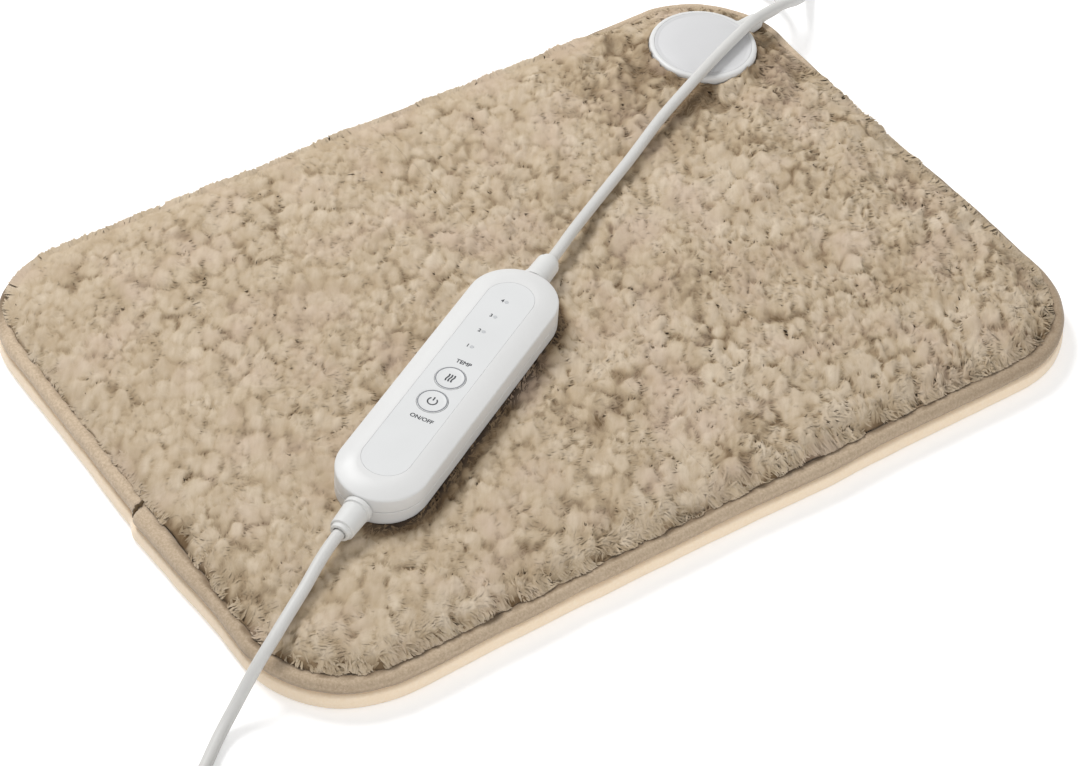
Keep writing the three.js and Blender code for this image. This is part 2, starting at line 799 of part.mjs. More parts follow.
function buildHousing(controller) {
  const lowerEdge = roundShares.map(([inShare, upShare]) => [
    baseRound * (1 - upShare), baseRound * inShare,
  ]);
  const tray = shaped(roundedBody(controllerShape, [...lowerEdge, [0, baseTop]]), {
    cuts: [roundedBody(controllerShape, [
      [baseRound, controllerWall],
      [controllerWall, baseRound],
      [controllerWall, baseTop + overrun],
    ])],
  });
  addPiece(controller, "controller_base", shaped(tray, {
    joined: [
      ...atPlaces(screwPlaces, () => disc(bossRadius, controllerWall / 2, baseTop, smallSides)),
      ...atPlaces(standoffPlaces, () => disc(standoffRadius, controllerWall / 2,
        controllerWall + standoffHeight, smallSides)),
    ],
    cuts: housingCuts(),
  }), finishes.shell);

  const upperEdge = roundShares.map(([inShare, upShare]) => [
    shoulderRound * inShare, shoulderHeight - shoulderRound * (1 - upShare),
  ]);
  const [bulgeIn, bulgeUp] = faceBulgeShares;
  const lid = shaped(roundedBody(controllerShape, [
    [0, coverFloor],
    ...upperEdge,
    [shoulderRound + bulgeIn * (faceMargin - shoulderRound),
      shoulderHeight + bulgeUp * (controllerHeight - shoulderHeight)],
    [faceMargin, controllerHeight],
  ]), {
    cuts: [roundedBody(controllerShape, [
      [controllerWall, coverFloor - overrun],
      [controllerWall, shoulderHeight - controllerWall],
      [faceMargin, ceiling],
    ])],
  });
  addPiece(controller, "controller_cover", shaped(lid, {
    joined: atPlaces(screwPlaces, () => disc(bossRadius, coverFloor, ceiling + controllerWall / 2,
      smallSides)),
    cuts: [
      ...housingCuts(),
      roundedPlate(panelShape, -fit, recessFloor, controllerHeight + overrun),
      ...faceHoles(ceiling - overrun),
    ],
  }), finishes.shell);

  addPiece(controller, "face_panel", shaped(
    roundedPlate(panelShape, 0, recessFloor + fit, controllerHeight),
    { cuts: faceHoles(recessFloor) },
  ), finishes.panel);

  screwPlaces.forEach(([u, v], i) => {
    addPiece(controller, `controller_screw_${i + 1}`, screw(screwRecess, screwTip), finishes.steel)
      .position.set(u, v, 0);
  });
}

// The holes that the button caps and the light pipes come up through
function faceHoles(floor) {
  const top = controllerHeight + overrun;
  return [
    ...atPlaces(buttonPlaces, () => disc(buttonRadius + fit, floor, top)),
    ...atPlaces(lightPlaces, () => disc(lightRadius + fit, floor, top, smallSides)),
  ];
}

function buildButton(controller, name, [u, v]) {
  const plungerTop = switchTop + plungerProud;
  const plungerFloor = switchTop - plungerSeat;
  const postFloor = plungerTop + fit;
  const earTop = ceiling - fit;
  const capTop = controllerHeight + buttonProud;
  const earRadius = buttonRadius + buttonEar;
  addPiece(controller, `${name}_button`, turned([
    [0, postFloor], [buttonPostRadius, postFloor],
    [buttonPostRadius, earTop - buttonEarThickness], [earRadius, earTop - buttonEarThickness],
    [earRadius, earTop], [buttonRadius, earTop],
    [buttonRadius, capTop - buttonEdge], [buttonRadius - buttonEdge, capTop], [0, capTop],
  ]), finishes.panel).position.set(u, v, 0);
  addPiece(controller, `${name}_plunger`, disc(plungerRadius, plungerFloor, plungerTop, smallSides),
    finishes.dark).position.set(u, v, 0);
  addPiece(controller, `${name}_switch`, shaped(block(switchSize, switchSize, partFloor, switchTop), {
    cuts: [disc(plungerRadius + fit, plungerFloor - buttonTravel - fit, switchTop + overrun, smallSides)],
  }), finishes.dark).position.set(u, v, 0);
}

function buildLights(controller) {
  const pipeShoulder = ceiling - fit;
  lightPlaces.forEach(([u, v], i) => {
    addPiece(controller, `light_pipe_${i + 1}`, turned([
      [0, ledTop + fit], [lightBodyRadius, ledTop + fit], [lightBodyRadius, pipeShoulder],
      [lightRadius, pipeShoulder], [lightRadius, controllerHeight], [0, controllerHeight],
    ], smallSides), finishes.clear).position.set(u, v, 0);
    addPiece(controller, `indicator_led_${i + 1}`, block(ledLength, ledWidth, partFloor, ledTop),
      finishes.led).position.set(u, v, 0);
  });
}

function buildBoard(controller) {
  const [end, body, side, tongue] = [boardEnd, boardBody, boardSide, boardTongueWidth / 2];
  const corners = [
    [end, tongue], [body, tongue], [body, side], [-body, side], [-body, tongue], [-end, tongue],
    [-end, -tongue], [-body, -tongue], [-body, -side], [body, -side], [body, -tongue], [end, -tongue],
  ];
  const shape = new THREE.Shape(corners.map(([u, v]) => new THREE.Vector2(u, v)));
  const board = new THREE.ExtrudeGeometry(shape, { depth: boardThickness, bevelEnabled: false });
  addPiece(controller, "control_board", moved(board, 0, 0, boardFloor), finishes.board);

  [["mains", -1], ["pad", 1]].forEach(([name, side]) => {
    addPiece(controller, `${name}_terminal`, block(terminalLength, terminalWidth, partFloor,
      ceiling - terminalHeadroom), finishes.dark).position.set(side * terminalU, 0, 0);
  });
  const onBoard = ([endShare, sideShare]) => [endShare * boardBody, sideShare * boardSide, 0];
  addPiece(controller, "triac", block(triacLength, triacWidth, partFloor, ceiling - tallHeadroom),
    finishes.dark).position.set(...onBoard(triacShares));
  addPiece(controller, "capacitor", block(capacitorLength, capacitorWidth, partFloor,
    ceiling - tallHeadroom), finishes.led).position.set(...onBoard(capacitorShares));
  addPiece(controller, "microcontroller", block(microcontrollerLength, microcontrollerWidth, partFloor,
    partFloor + microcontrollerHeight), finishes.dark).position.set(...onBoard(microcontrollerShares));
  const fuse = alongX(disc(fuseDiameter / 2, -fuseLength / 2, fuseLength / 2, smallSides),
    partFloor + fuseDiameter / 2);
  addPiece(controller, "board_fuse", fuse, finishes.ceramic).position.set(...onBoard(fuseShares));
}

function buildBoots(controller) {
  const outerFace = halfLength + fit;
  const endRadius = halfWidth - controllerWall;
  const innerFace = halfLength - halfWidth + Math.sqrt(endRadius ** 2 - bootFlange ** 2) - fit;
  const collarEnd = outerFace + bootCollarLength;
  const tailFoot = terminalU + terminalLength / 2 + fit;
  [["pad", 0], ["mains", Math.PI]].forEach(([name, turn]) => {
    addPiece(controller, `${name}_boot`, alongX(strainRelief([
      [bootFlange, innerFace - bootFlangeDepth], [bootFlange, innerFace],
      [bootNeck, innerFace], [bootNeck, outerFace],
      [bootCollar, outerFace], [bootCollar, collarEnd],
      [bootRoot, collarEnd], [bootEnd, bootReach - bootLipLength],
      [bootLip, bootReach - bootLipLength], [bootLip, bootReach],
    ]), bootHeight), finishes.rubber).rotation.z = turn;
    addPiece(controller, `${name}_tail`, alongX(disc(cordRadius, tailFoot, bootReach, tubeSides), bootHeight),
      finishes.cord).rotation.z = turn;
  });
}

function buildController() {
  const controller = new THREE.Group();
  controller.position.set(controllerX, controllerY, controllerFloor);
  controller.rotation.z = THREE.MathUtils.degToRad(controllerTurn);
  assembly.add(controller);
  buildHousing(controller);
  ["temp", "power"].forEach((name, i) => buildButton(controller, name, buttonPlaces[i]));
  buildLights(controller);
  buildBoard(controller);
  buildBoots(controller);
}

// The stored mains lead: a flat spiral inwards, a climbing half turn, and a spiral out on top

const coilTurns = coilInwardTurns + coilClimbTurns + coilOutwardTurns;
const coilEntry = THREE.MathUtils.degToRad(coilEntryAngle);

function coilRadius(turn) {
  if (turn <= coilInwardTurns) {
    return coilOuterRadius - coilPitch * turn;
  }
  const pastClimb = turn - coilInwardTurns - coilClimbTurns;
  if (pastClimb >= 0) {
    return coilInnerRadius + coilPitch * pastClimb;
  }
  const climb = (turn - coilInwardTurns) / coilClimbTurns;
  return coilInnerRadius - coilDip * Math.sin(Math.PI * climb);
}

function coilPoint(turn) {
  const climb = Math.min(Math.max((turn - coilInwardTurns) / coilClimbTurns, 0), 1);
  const rise = climb - Math.sin(2 * Math.PI * climb) / (2 * Math.PI);
  const angle = coilEntry + turn * 2 * Math.PI;
  const radius = coilRadius(turn);
  return [
    coilX + radius * Math.cos(angle),
    coilY + radius * Math.sin(angle),
    coilFloor + coilLayerRise * rise,
  ];
}

// A point one cord diameter straight on from an end of the spiral, along the circle's tangent
function coilEnd(turn, direction) {
  const [x, y, z] = coilPoint(turn);
  const angle = coilEntry + turn * 2 * Math.PI;
  const reach = direction * cordDiameter;
  return [x - reach * Math.sin(angle), y + reach * Math.cos(angle), z];
}

function coilPoints(stepsPerTurn) {
  const count = Math.round(coilTurns * stepsPerTurn);
  const turns = Array.from({ length: count + 1 }, (unused, i) => (i / count) * coilTurns);
  return [coilEnd(0, -1), ...turns.map(coilPoint), coilEnd(coilTurns, 1)];
}

// The least clear distance between stretches of the coil that are over a quarter turn apart
function coilLeastGap() {
  const points = coilPoints(gapStepsPerTurn).map((point) => new THREE.Vector3(...point));
  let least = Infinity;
  for (let i = 0; i < points.length; i += 1) {
    for (let j = i + gapStepsPerTurn / 4; j < points.length; j += 1) {
      least = Math.min(least, points[i].distanceTo(points[j]));
    }
  }
  return least - cordDiameter;
}

function buildCoil() {
  addPiece(assembly, "mains_lead_coil", pointTube(coilPoints(coilStepsPerTurn), cordRadius, coilSides),
    finishes.cord);
  console.log(`least gap of the coil to itself: ${coilLeastGap().toFixed(2)} mm`);

  const inner = coilRadius(Math.floor(coilInwardTurns) + tieTurn)
    - cordRadius - tieMargin - tieThickness;
  const outer = coilRadius(tieTurn) + cordRadius + tieMargin + tieThickness;
  const top = coilFloor + coilLayerRise + cordRadius + fit + tieThickness;
  const band = { length: outer - inner, width: top, corner: cordRadius + tieThickness };
  const tie = roundedBody(band, [[0, 0], [0, tieWidth], [tieThickness, tieWidth], [tieThickness, 0]], true);
  tie.rotateX(Math.PI / 2).translate((inner + outer) / 2, tieWidth / 2, top / 2);
  const mesh = addPiece(assembly, "coil_tie", tie, finishes.dark);
  mesh.position.set(coilX, coilY, 0);
  mesh.rotation.z = coilEntry + tieTurn * 2 * Math.PI;
}

function buildPlug() {
  const [x, y, z] = coilEnd(coilTurns, 1);
  const plug = new THREE.Group();
  plug.position.set(x, y, z);
  plug.rotation.z = coilEntry + coilTurns * 2 * Math.PI + Math.PI / 2;
  assembly.add(plug);
  const bootFoot = plugBootLength + fit;
  addPiece(plug, "plug_boot", alongX(turned([
    [0, fit], [plugBootTip, fit], [plugBootRoot, bootFoot], [0, bootFoot],
  ], smallSides), 0), finishes.rubber);
  const bodyFloor = bootFoot + fit;
  const bodyTop = bodyFloor + plugLength;
  const body = roundedBody({ length: 2 * plugHeight, width: plugWidth, corner: plugCorner }, [
    [plugEdge, bodyFloor],
    [0, bodyFloor + plugEdge],
    [plugWaist, bodyFloor + plugWaistPlace],
    [0, bodyTop - plugEdge],
    [plugEdge / 2, bodyTop],
  ]);
  addPiece(plug, "plug_body", alongX(body, 0), finishes.shell);
  ["a", "b"].forEach((letter, i) => {
    const pinFloor = bodyTop + fit;
    const pin = alongX(turned([
      [0, pinFloor], [pinRadius, pinFloor], [pinRadius, pinFloor + pinLength - pinRadius],
      [pinRadius / 2, pinFloor + pinLength], [0, pinFloor + pinLength],
    ], smallSides), 0);
    addPiece(plug, `plug_pin_${letter}`, pin, finishes.nickel)
      .position.set(0, (2 * i - 1) * pinSpacing / 2, 0);
  });
}

function buildLeads() {
  addPiece(assembly, "pad_lead", cordTube(padLeadRoute, padLeadSteps), finishes.cord);
  addPiece(assembly, "mains_lead_run", cordTube(mainsLeadRoute, mainsRunSteps), finishes.cord);
}

buildBackingCover();
buildEdgeBinding();
buildPlushTop();
buildPadFilling();
buildHub();
buildController();
buildCoil();
buildPlug();
buildLeads();

export default assembly;
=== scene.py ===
# A heating pad of plush with an in-line controller. Sizes are named in millimetres and meshes are
# written in metres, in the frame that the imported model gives.
import math

import bmesh
import bpy
import numpy as np
from mathutils import Matrix, Vector


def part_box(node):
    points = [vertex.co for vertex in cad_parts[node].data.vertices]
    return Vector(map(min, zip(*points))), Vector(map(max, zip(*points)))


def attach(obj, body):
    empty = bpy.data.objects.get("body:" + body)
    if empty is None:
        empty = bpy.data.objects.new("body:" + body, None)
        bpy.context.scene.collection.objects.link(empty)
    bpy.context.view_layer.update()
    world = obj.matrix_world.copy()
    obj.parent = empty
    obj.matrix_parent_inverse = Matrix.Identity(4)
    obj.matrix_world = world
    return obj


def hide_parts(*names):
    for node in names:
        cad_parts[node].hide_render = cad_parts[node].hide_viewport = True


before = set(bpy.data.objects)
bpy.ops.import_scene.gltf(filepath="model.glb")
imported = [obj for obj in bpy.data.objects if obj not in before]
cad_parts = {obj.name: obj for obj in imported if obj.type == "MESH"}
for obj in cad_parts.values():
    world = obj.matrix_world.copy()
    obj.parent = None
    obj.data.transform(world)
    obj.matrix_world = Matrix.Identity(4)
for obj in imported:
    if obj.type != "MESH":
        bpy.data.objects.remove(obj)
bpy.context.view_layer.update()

MM = 0.001
FIT = 0.3


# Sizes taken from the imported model

def low(node):
    return np.array(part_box(node)[0]) / MM


def high(node):
    return np.array(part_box(node)[1]) / MM


PAD_HALF = high("edge_binding")[:2]
PAD_CORNER = 51
BINDING_FLOOR, BINDING_TOP = low("edge_binding")[2], high("edge_binding")[2]
BINDING_WIDTH = 7
BACKING_TOP = 8.3
PLUSH_FLOOR, PLUSH_TOP = low("plush_top")[2], high("plush_top")[2]
HEM_TOP = 12.85
PLUSH_INSET = BINDING_WIDTH + FIT
PLUSH_SHOULDER = 34
INSET_SHARES = [0, 0.01, 0.03, 0.11, 0.24, 0.45, 0.72, 1]
RISE_SHARES = [0, 0.3, 0.46, 0.66, 0.81, 0.91, 0.97, 1]

CONTROLLER = np.array([-74.0, -37.0])
CONTROLLER_TURN = math.radians(28)
CONTROLLER_FLOOR = low("controller_base")[2]
CONTROLLER_HALF_LENGTH = 80.5
CONTROLLER_HALF_WIDTH = 21.25
CONTROLLER_HEIGHT = 18.5
CONTROLLER_WALL = 1.8
PARTING = 8.5
PANEL_END_MARGIN = 13
PANEL_SIDE_MARGIN = 9.95
PANEL_OPENING = 0.22
BOOT_AXIS = 9
BOOT_REACH = 97.67
BOOT_RADIUS = 6.6
BUTTONS = {"temp": -1.3, "power": -17.7}
BUTTON_V = -0.8
BUTTON_RADIUS = 7
LIGHTS = (54.1, 43.03, 31.97, 20.9)
LIGHT_V = 0.3
LIGHT_RADIUS = 0.9

HUB = (low("hub_lid")[:2] + high("hub_lid")[:2]) / 2
HUB_TURN = math.radians(10.5)
HUB_RADIUS = 27.2
HUB_BASE_RADIUS = 24.8
HUB_RIM_FLOOR, HUB_TOP = low("hub_rim")[2], high("hub_rim")[2]
HUB_LID_RADIUS = 24.3
GLAND_HEIGHT = 20
GLAND_REACH = 41.1

CORD_DIAMETER = 5.4
CORD_RADIUS = CORD_DIAMETER / 2

# The way that the pile lies, and the way that it runs out over the binding
NAP_HEADING = math.radians(52)
OVERHANG_HEADING = math.radians(73)

# The cords' routes, as the part's source has them
PAD_LEAD_ROUTE = [
    (12.5, 9, 30.5), (17.3, 11.5, 30.5), (33.4, 21.2, 29.2), (60, 35.9, 27.6), (88.3, 50.7, 27.2),
    (117.9, 65.9, 29), (143.5, 76.9, 31), (169.4, 88.4, 31), (189.5, 96.6, 31), (201, 101.4, 30.2),
    (212.8, 105.7, 27.8), (229.6, 110.2, 24), (243, 117, 16), (256, 126, 8), (268, 136.5, 3.3),
    (278.6, 150.5, 2.8), (286.2, 168.7, 2.8), (285.5, 178.6, 2.8), (280.8, 187.4, 2.8),
    (272.9, 193.6, 2.8), (263.2, 196, 2.8), (253.4, 194.3, 2.8), (245.1, 188.7, 2.8),
    (239.8, 180.2, 2.8), (238.5, 170.3, 2.8), (240.6, 158, 2.8), (243.2, 147, 3.8),
    (243.8, 136.5, 7.4), (240.4, 126.5, 11.8), (234.6, 119, 15.8), (226.8, 114.2, 18.6),
    (217.61, 111.62, 20), (212.31, 110.64, 20),
]
MAINS_LEAD_ROUTE = [
    (-160.5, -83, 30.5), (-166, -85.9, 30.4), (-174, -90.4, 29.4), (-186.4, -98.1, 27),
    (-198.3, -105.6, 26.2), (-209.6, -112.3, 24.4), (-220.4, -117.3, 19.6), (-228, -120.4, 14),
    (-235.7, -123.9, 8.6), (-242.4, -127.4, 5.2), (-249.4, -132.1, 3.5), (-259.4, -140.3, 3.4),
    (-270, -148.6, 3.6), (-277.6, -154.5, 3.6),
]
COIL = np.array([-262.4, -197.3])
COIL_OUTER_RADIUS = 43.2
COIL_PITCH = 6
COIL_LAYER_RISE = 6
COIL_ENTRY = math.radians(129)
COIL_INWARD, COIL_CLIMB, COIL_OUTWARD = 3.5, 0.5, 3.3917
COIL_TURNS = COIL_INWARD + COIL_CLIMB + COIL_OUTWARD
COIL_DIP = 1.5
COIL_FLOOR = 3.6
COIL_STEPS_PER_TURN = 16
PLUG_START, PLUG_LENGTH = 25.6, 35
PLUG_HALF_WIDTH, PLUG_HALF_HEIGHT = 13, 9.6
PLUG_ROUND, PLUG_WAIST = 2.2, 2.4
PIN_OFFSET = 9.3
TIE_THICKNESS = 0.6
TIE_HALF_WIDTH = 4

# Camera, fitted to the photograph
CAMERA_TARGET = Vector((-18.41, -29.88, 0)) * MM
CAMERA_DISTANCE = 1426.9 * MM
CAMERA_AZIMUTH = -0.6571154
CAMERA_ELEVATION = 0.7869661
CAMERA_ROLL = 0.0731011
CAMERA_LENS = 103.84
CAMERA_SENSOR = 36


# Camera, light and floor

def linked(name, data):
    """A new object in the scene."""
    piece = bpy.data.objects.new(name, data)
    bpy.context.collection.objects.link(piece)
    return piece


def make_camera():
    azimuth, elevation = CAMERA_AZIMUTH, CAMERA_ELEVATION
    right = Vector((math.cos(azimuth), math.sin(azimuth), 0))
    back = Vector((math.sin(azimuth) * math.cos(elevation),
                   -math.cos(azimuth) * math.cos(elevation), math.sin(elevation)))
    up = back.cross(right)
    turned_right = right * math.cos(CAMERA_ROLL) + up * math.sin(CAMERA_ROLL)
    turned_up = up * math.cos(CAMERA_ROLL) - right * math.sin(CAMERA_ROLL)
    turn = Matrix((turned_right, turned_up, back)).transposed().to_4x4()
    data = bpy.data.cameras.new("camera")
    data.lens = CAMERA_LENS
    data.sensor_width = CAMERA_SENSOR
    camera = linked("camera", data)
    camera.matrix_world = Matrix.Translation(CAMERA_TARGET + back * CAMERA_DISTANCE) @ turn
    bpy.context.scene.camera = camera


def make_lamp(name, spot, size, power):
    """A round lamp that points at the middle of the pad."""
    data = bpy.data.lights.new(name, "AREA")
    data.shape = "DISK"
    data.size = size
    data.energy = power
    lamp = linked(name, data)
    lamp.location = spot
    lamp.rotation_euler = (-Vector(spot)).to_track_quat("-Z", "Y").to_euler()


def new_material(name):
    material = bpy.data.materials.new(name)
    material.use_nodes = True
    return material, material.node_tree, material.node_tree.nodes["Principled BSDF"]


def set_inputs(tree, node, values):
    """Gives a node's inputs plain values, or links them to the sockets that feed them."""
    for name, value in values.items():
        if isinstance(value, bpy.types.NodeSocket):
            tree.links.new(value, node.inputs[name])
        else:
            node.inputs[name].default_value = value


def add_node(tree, kind, output, values=None, **settings):
    """One output of a new node."""
    node = tree.nodes.new("ShaderNode" + kind)
    for name, value in settings.items():
        setattr(node, name, value)
    set_inputs(tree, node, values or {})
    return node.outputs[output]


def seen_directly(tree):
    """1 where a ray comes straight from the camera, off gloss or through glass."""
    total = add_node(tree, "LightPath", "Is Camera Ray")
    for other in ("Is Glossy Ray", "Is Transmission Ray"):
        values = {0: total, 1: add_node(tree, "LightPath", other)}
        total = add_node(tree, "Math", 0, values, operation="MAXIMUM")
    return total


WORLD_STRENGTH = 0.48
KEY_POWER = 26
FILL_POWER = 0.5
FRONT_POWER = 11.5
FLOOR_GLOW, FAR_FLOOR_GLOW = 0.34, 0.7


def make_light():
    world = bpy.data.worlds.new("studio")
    world.use_nodes = True
    tree = world.node_tree
    strength = add_node(tree, "Mix", "Result",
                        {"Factor": seen_directly(tree), "A": WORLD_STRENGTH, "B": 1})
    set_inputs(tree, tree.nodes["Background"], {"Color": (1, 1, 1, 1), "Strength": strength})
    bpy.context.scene.world = world
    bpy.context.scene.view_settings.view_transform = "Standard"
    make_lamp("key", (-0.15, 1.2, 1.55), 0.8, KEY_POWER)
    make_lamp("fill", (-1.4, -0.4, 1.1), 1.2, FILL_POWER)
    make_lamp("front", (-0.35, -1.65, 0.35), 1.5, FRONT_POWER)


def make_floor():
    bpy.ops.mesh.primitive_plane_add(size=6, location=(0, 0, 0))
    floor = bpy.context.active_object
    floor.name = "floor"
    material, tree, shader = new_material("pale_floor")
    spot = add_node(tree, "TexCoord", "Object")
    reach = add_node(tree, "VectorMath", "Value", {0: spot}, operation="LENGTH")
    glow = ranged(tree, reach, 0.6, 1.6, FLOOR_GLOW, FAR_FLOOR_GLOW)
    glow = add_node(tree, "Math", 0, {0: seen_directly(tree), 1: glow}, operation="MULTIPLY")
    set_inputs(tree, shader, {"Base Color": (0.94, 0.94, 0.94, 1), "Roughness": 1,
                              "Specular IOR Level": 0, "Emission Color": (1, 1, 1, 1),
                              "Emission Strength": glow})
    floor.data.materials.append(material)


# Mesh helpers

BEND_STEPS = 4
END_STEPS = 28


def add_mesh(name, points, faces, material, smooth=True):
    mesh = bpy.data.meshes.new(name)
    mesh.from_pydata((np.asarray(points, float) * MM).tolist(), [], faces)
    mesh.validate()
    if smooth:
        mesh.shade_smooth()
    mesh.materials.append(MATERIALS[material])
    return linked(name, mesh)


def grid_faces(rows, columns, wrap_rows, wrap_columns):
    """Quads between the points of a grid, whose rows or columns may close on themselves."""
    last_row = rows if wrap_rows else rows - 1
    last_column = columns if wrap_columns else columns - 1
    i, j = np.meshgrid(np.arange(last_row), np.arange(last_column), indexing="ij")
    next_i, next_j = (i + 1) % rows, (j + 1) % columns
    quads = np.stack([
        i * columns + j, i * columns + next_j, next_i * columns + next_j, next_i * columns + j,
    ], axis=-1)
    return quads.reshape(-1, 4).tolist()


def ring_piece(name, rings, material, closed=False):
    """A body of rings with equal point counts: closed on itself, or capped at both ends."""
    rings = np.asarray(rings, float)
    rows, columns = rings.shape[:2]
    faces = grid_faces(rows, columns, closed, True)
    if not closed:
        faces.append(list(range(columns)))
        faces.append([(rows - 1) * columns + j for j in range(columns)])
    piece = add_mesh(name, rings.reshape(-1, 3), faces, material)
    make_consistent(piece)
    return piece


def make_consistent(piece):
    mesh = bmesh.new()
    mesh.from_mesh(piece.data)
    bmesh.ops.remove_doubles(mesh, verts=mesh.verts, dist=MM / 1000)
    bmesh.ops.recalc_face_normals(mesh, faces=mesh.faces)
    mesh.to_mesh(piece.data)
    mesh.free()


def evaluated_mesh(piece):
    graph = bpy.context.evaluated_depsgraph_get()
    return bpy.data.meshes.new_from_object(piece.evaluated_get(graph))


def curve_piece(name, curve, material):
    """A curve or lettering as a mesh of one material."""
    source = linked(name + "_source", curve)
    mesh = evaluated_mesh(source)
    bpy.data.objects.remove(source)
    mesh.materials.clear()
    mesh.materials.append(MATERIALS[material])
    return linked(name, mesh)


def dress(piece, slot=None, *nodes, body="pad"):
    """Says what a piece rides on and which nodes it stands for. The slot is not used."""
    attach(piece, body)
    if nodes:
        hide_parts(*nodes)


def sharpen(piece, angle=35):
    """Keeps creases crisp where faces meet at more than an angle."""
    piece.data.set_sharp_from_angle(angle=math.radians(angle))


def place(piece, x, y, z, turn=0):
    """Moves a mesh's points, so that the object itself stays at the origin."""
    matrix = Matrix.Translation(Vector((x, y, z)) * MM) @ Matrix.Rotation(turn, 4, "Z")
    piece.data.transform(matrix)
    return piece


def in_controller(piece):
    """Moves a piece that is built round the controller's own middle to its place."""
    return place(piece, *CONTROLLER, CONTROLLER_FLOOR, CONTROLLER_TURN)


def in_hub(piece):
    return place(piece, *HUB, 0, HUB_TURN)


def turned_rings(profile, steps, axis="z"):
    """Rings of a turned body, one for each profile point of radius and height."""
    angles = np.arange(steps) / steps * 2 * math.pi
    rings = []
    for radius, height in profile:
        across, up = radius * np.cos(angles), radius * np.sin(angles)
        along = np.full(steps, float(height))
        rings.append(np.stack([along, across, up] if axis == "x" else [across, up, along], axis=-1))
    return rings


def rounded_corner(start, corner, end, steps):
    """Points of a smooth bend that starts and ends at two points and is drawn towards a third."""
    start, corner, end = map(np.array, (start, corner, end))
    shares = np.linspace(0, 1, steps + 1)[:, None]
    drawn = 2 * shares * (1 - shares) * corner
    return ((1 - shares) ** 2 * start + drawn + shares ** 2 * end).tolist()


def softened(profile, radius, closed=False):
    """A profile with its corners rounded off by a radius."""
    points = [np.array(p, float) for p in profile]
    count = len(points)
    result = []
    for i, point in enumerate(points):
        if not closed and i in (0, count - 1):
            result.append(point.tolist())
            continue
        before, after = points[i - 1], points[(i + 1) % count]
        reach_before = min(radius, np.linalg.norm(before - point) / 2)
        reach_after = min(radius, np.linalg.norm(after - point) / 2)
        start = point + (before - point) / np.linalg.norm(before - point) * reach_before
        end = point + (after - point) / np.linalg.norm(after - point) * reach_after
        result.extend(rounded_corner(start, point, end, BEND_STEPS))
    return result


def outline(half_x, half_y, corner, corner_steps, side_step=None):
    """Points and outward directions along a rounded rectangle, counterclockwise."""
    points, normals = [], []
    centres = np.array([(1, 1), (-1, 1), (-1, -1), (1, -1)]) * (half_x - corner, half_y - corner)
    for quarter, centre in enumerate(centres):
        for step in range(corner_steps + 1):
            angle = (quarter + step / corner_steps) * math.pi / 2
            normal = np.array([math.cos(angle), math.sin(angle)])
            points.append(centre + corner * normal)
            normals.append(normal)
        if side_step:
            start, end = points[-1], centres[(quarter + 1) % 4] + corner * normal
            count = int(np.linalg.norm(end - start) / side_step)
            for step in range(1, count):
                points.append(start + (end - start) * step / count)
                normals.append(normal)
    return np.array(points), np.array(normals)


def swept_rings(path, profile):
    """Rings round an outline, one for each profile point of inset and height."""
    points, normals = path
    rings = []
    for inset, height in profile:
        flat = points - normals * np.reshape(inset, (-1, 1))
        rings.append(np.column_stack([flat, np.broadcast_to(height, len(flat))]))
    return rings


def to_outline(x, y, half, corner):
    """The distance outside a rounded rectangle, negative inside it."""
    across = np.abs(x) - (half[0] - corner)
    along = np.abs(y) - (half[1] - corner)
    outside = np.hypot(np.maximum(across, 0), np.maximum(along, 0))
    return outside + np.minimum(np.maximum(across, along), 0) - corner


# Smooth noise on a seeded lattice

LATTICE = 256


def noise(x, y, cell, seed):
    """Noise from 0 to 1, with lumps about as wide as a cell."""
    table = np.random.default_rng(seed).random((LATTICE, LATTICE))
    u, v = x / cell + LATTICE, y / cell + LATTICE
    i, j = np.floor(u).astype(int), np.floor(v).astype(int)
    s, t = u - i, v - j
    s, t = s * s * (3 - 2 * s), t * t * (3 - 2 * t)
    i, j = i % LATTICE, j % LATTICE
    next_i, next_j = (i + 1) % LATTICE, (j + 1) % LATTICE
    near = table[i, j] * (1 - s) + table[next_i, j] * s
    far = table[i, next_j] * (1 - s) + table[next_i, next_j] * s
    return near * (1 - t) + far * t


def wobble(x, y, cell, seed):
    """Noise from -0.5 to 0.5."""
    return noise(x, y, cell, seed) - 0.5


def turned(x, y, angle):
    """Flat places in a frame that is turned by an angle."""
    cos, sin = math.cos(angle), math.sin(angle)
    return x * cos + y * sin, y * cos - x * sin


def smooth_step(value, start, end):
    share = np.clip((value - start) / (end - start), 0, 1)
    return share * share * (3 - 2 * share)


# Materials

def mix_colors(tree, factor, first, second):
    colours = [c if isinstance(c, bpy.types.NodeSocket) else (*c, 1) for c in (first, second)]
    values = {"Factor": factor, "A": colours[0], "B": colours[1]}
    return add_node(tree, "Mix", "Result", values, data_type="RGBA")


def noise_node(tree, scale, detail=2, stretch=None, roughness=0.5, turn=0):
    """Smooth noise on the object, which may be drawn out along axes that are turned about Z."""
    spot = add_node(tree, "TexCoord", "Object")
    if stretch:
        values = {"Vector": spot, "Rotation": (0, 0, turn), "Scale": stretch}
        spot = add_node(tree, "Mapping", "Vector", values, vector_type="TEXTURE")
    return add_node(tree, "TexNoise", "Fac", {"Vector": spot, "Scale": scale, "Detail": detail,
                                              "Roughness": roughness})


def attribute_node(tree, name):
    return add_node(tree, "Attribute", "Fac", attribute_name=name)


def ranged(tree, value, start, end, low_value=0, high_value=1):
    return add_node(tree, "MapRange", "Result", {
        "Value": value, "From Min": start, "From Max": end, "To Min": low_value,
        "To Max": high_value,
    })


def bumped(tree, height, strength, distance):
    return add_node(tree, "Bump", "Normal", {"Height": height, "Strength": strength,
                                             "Distance": distance})


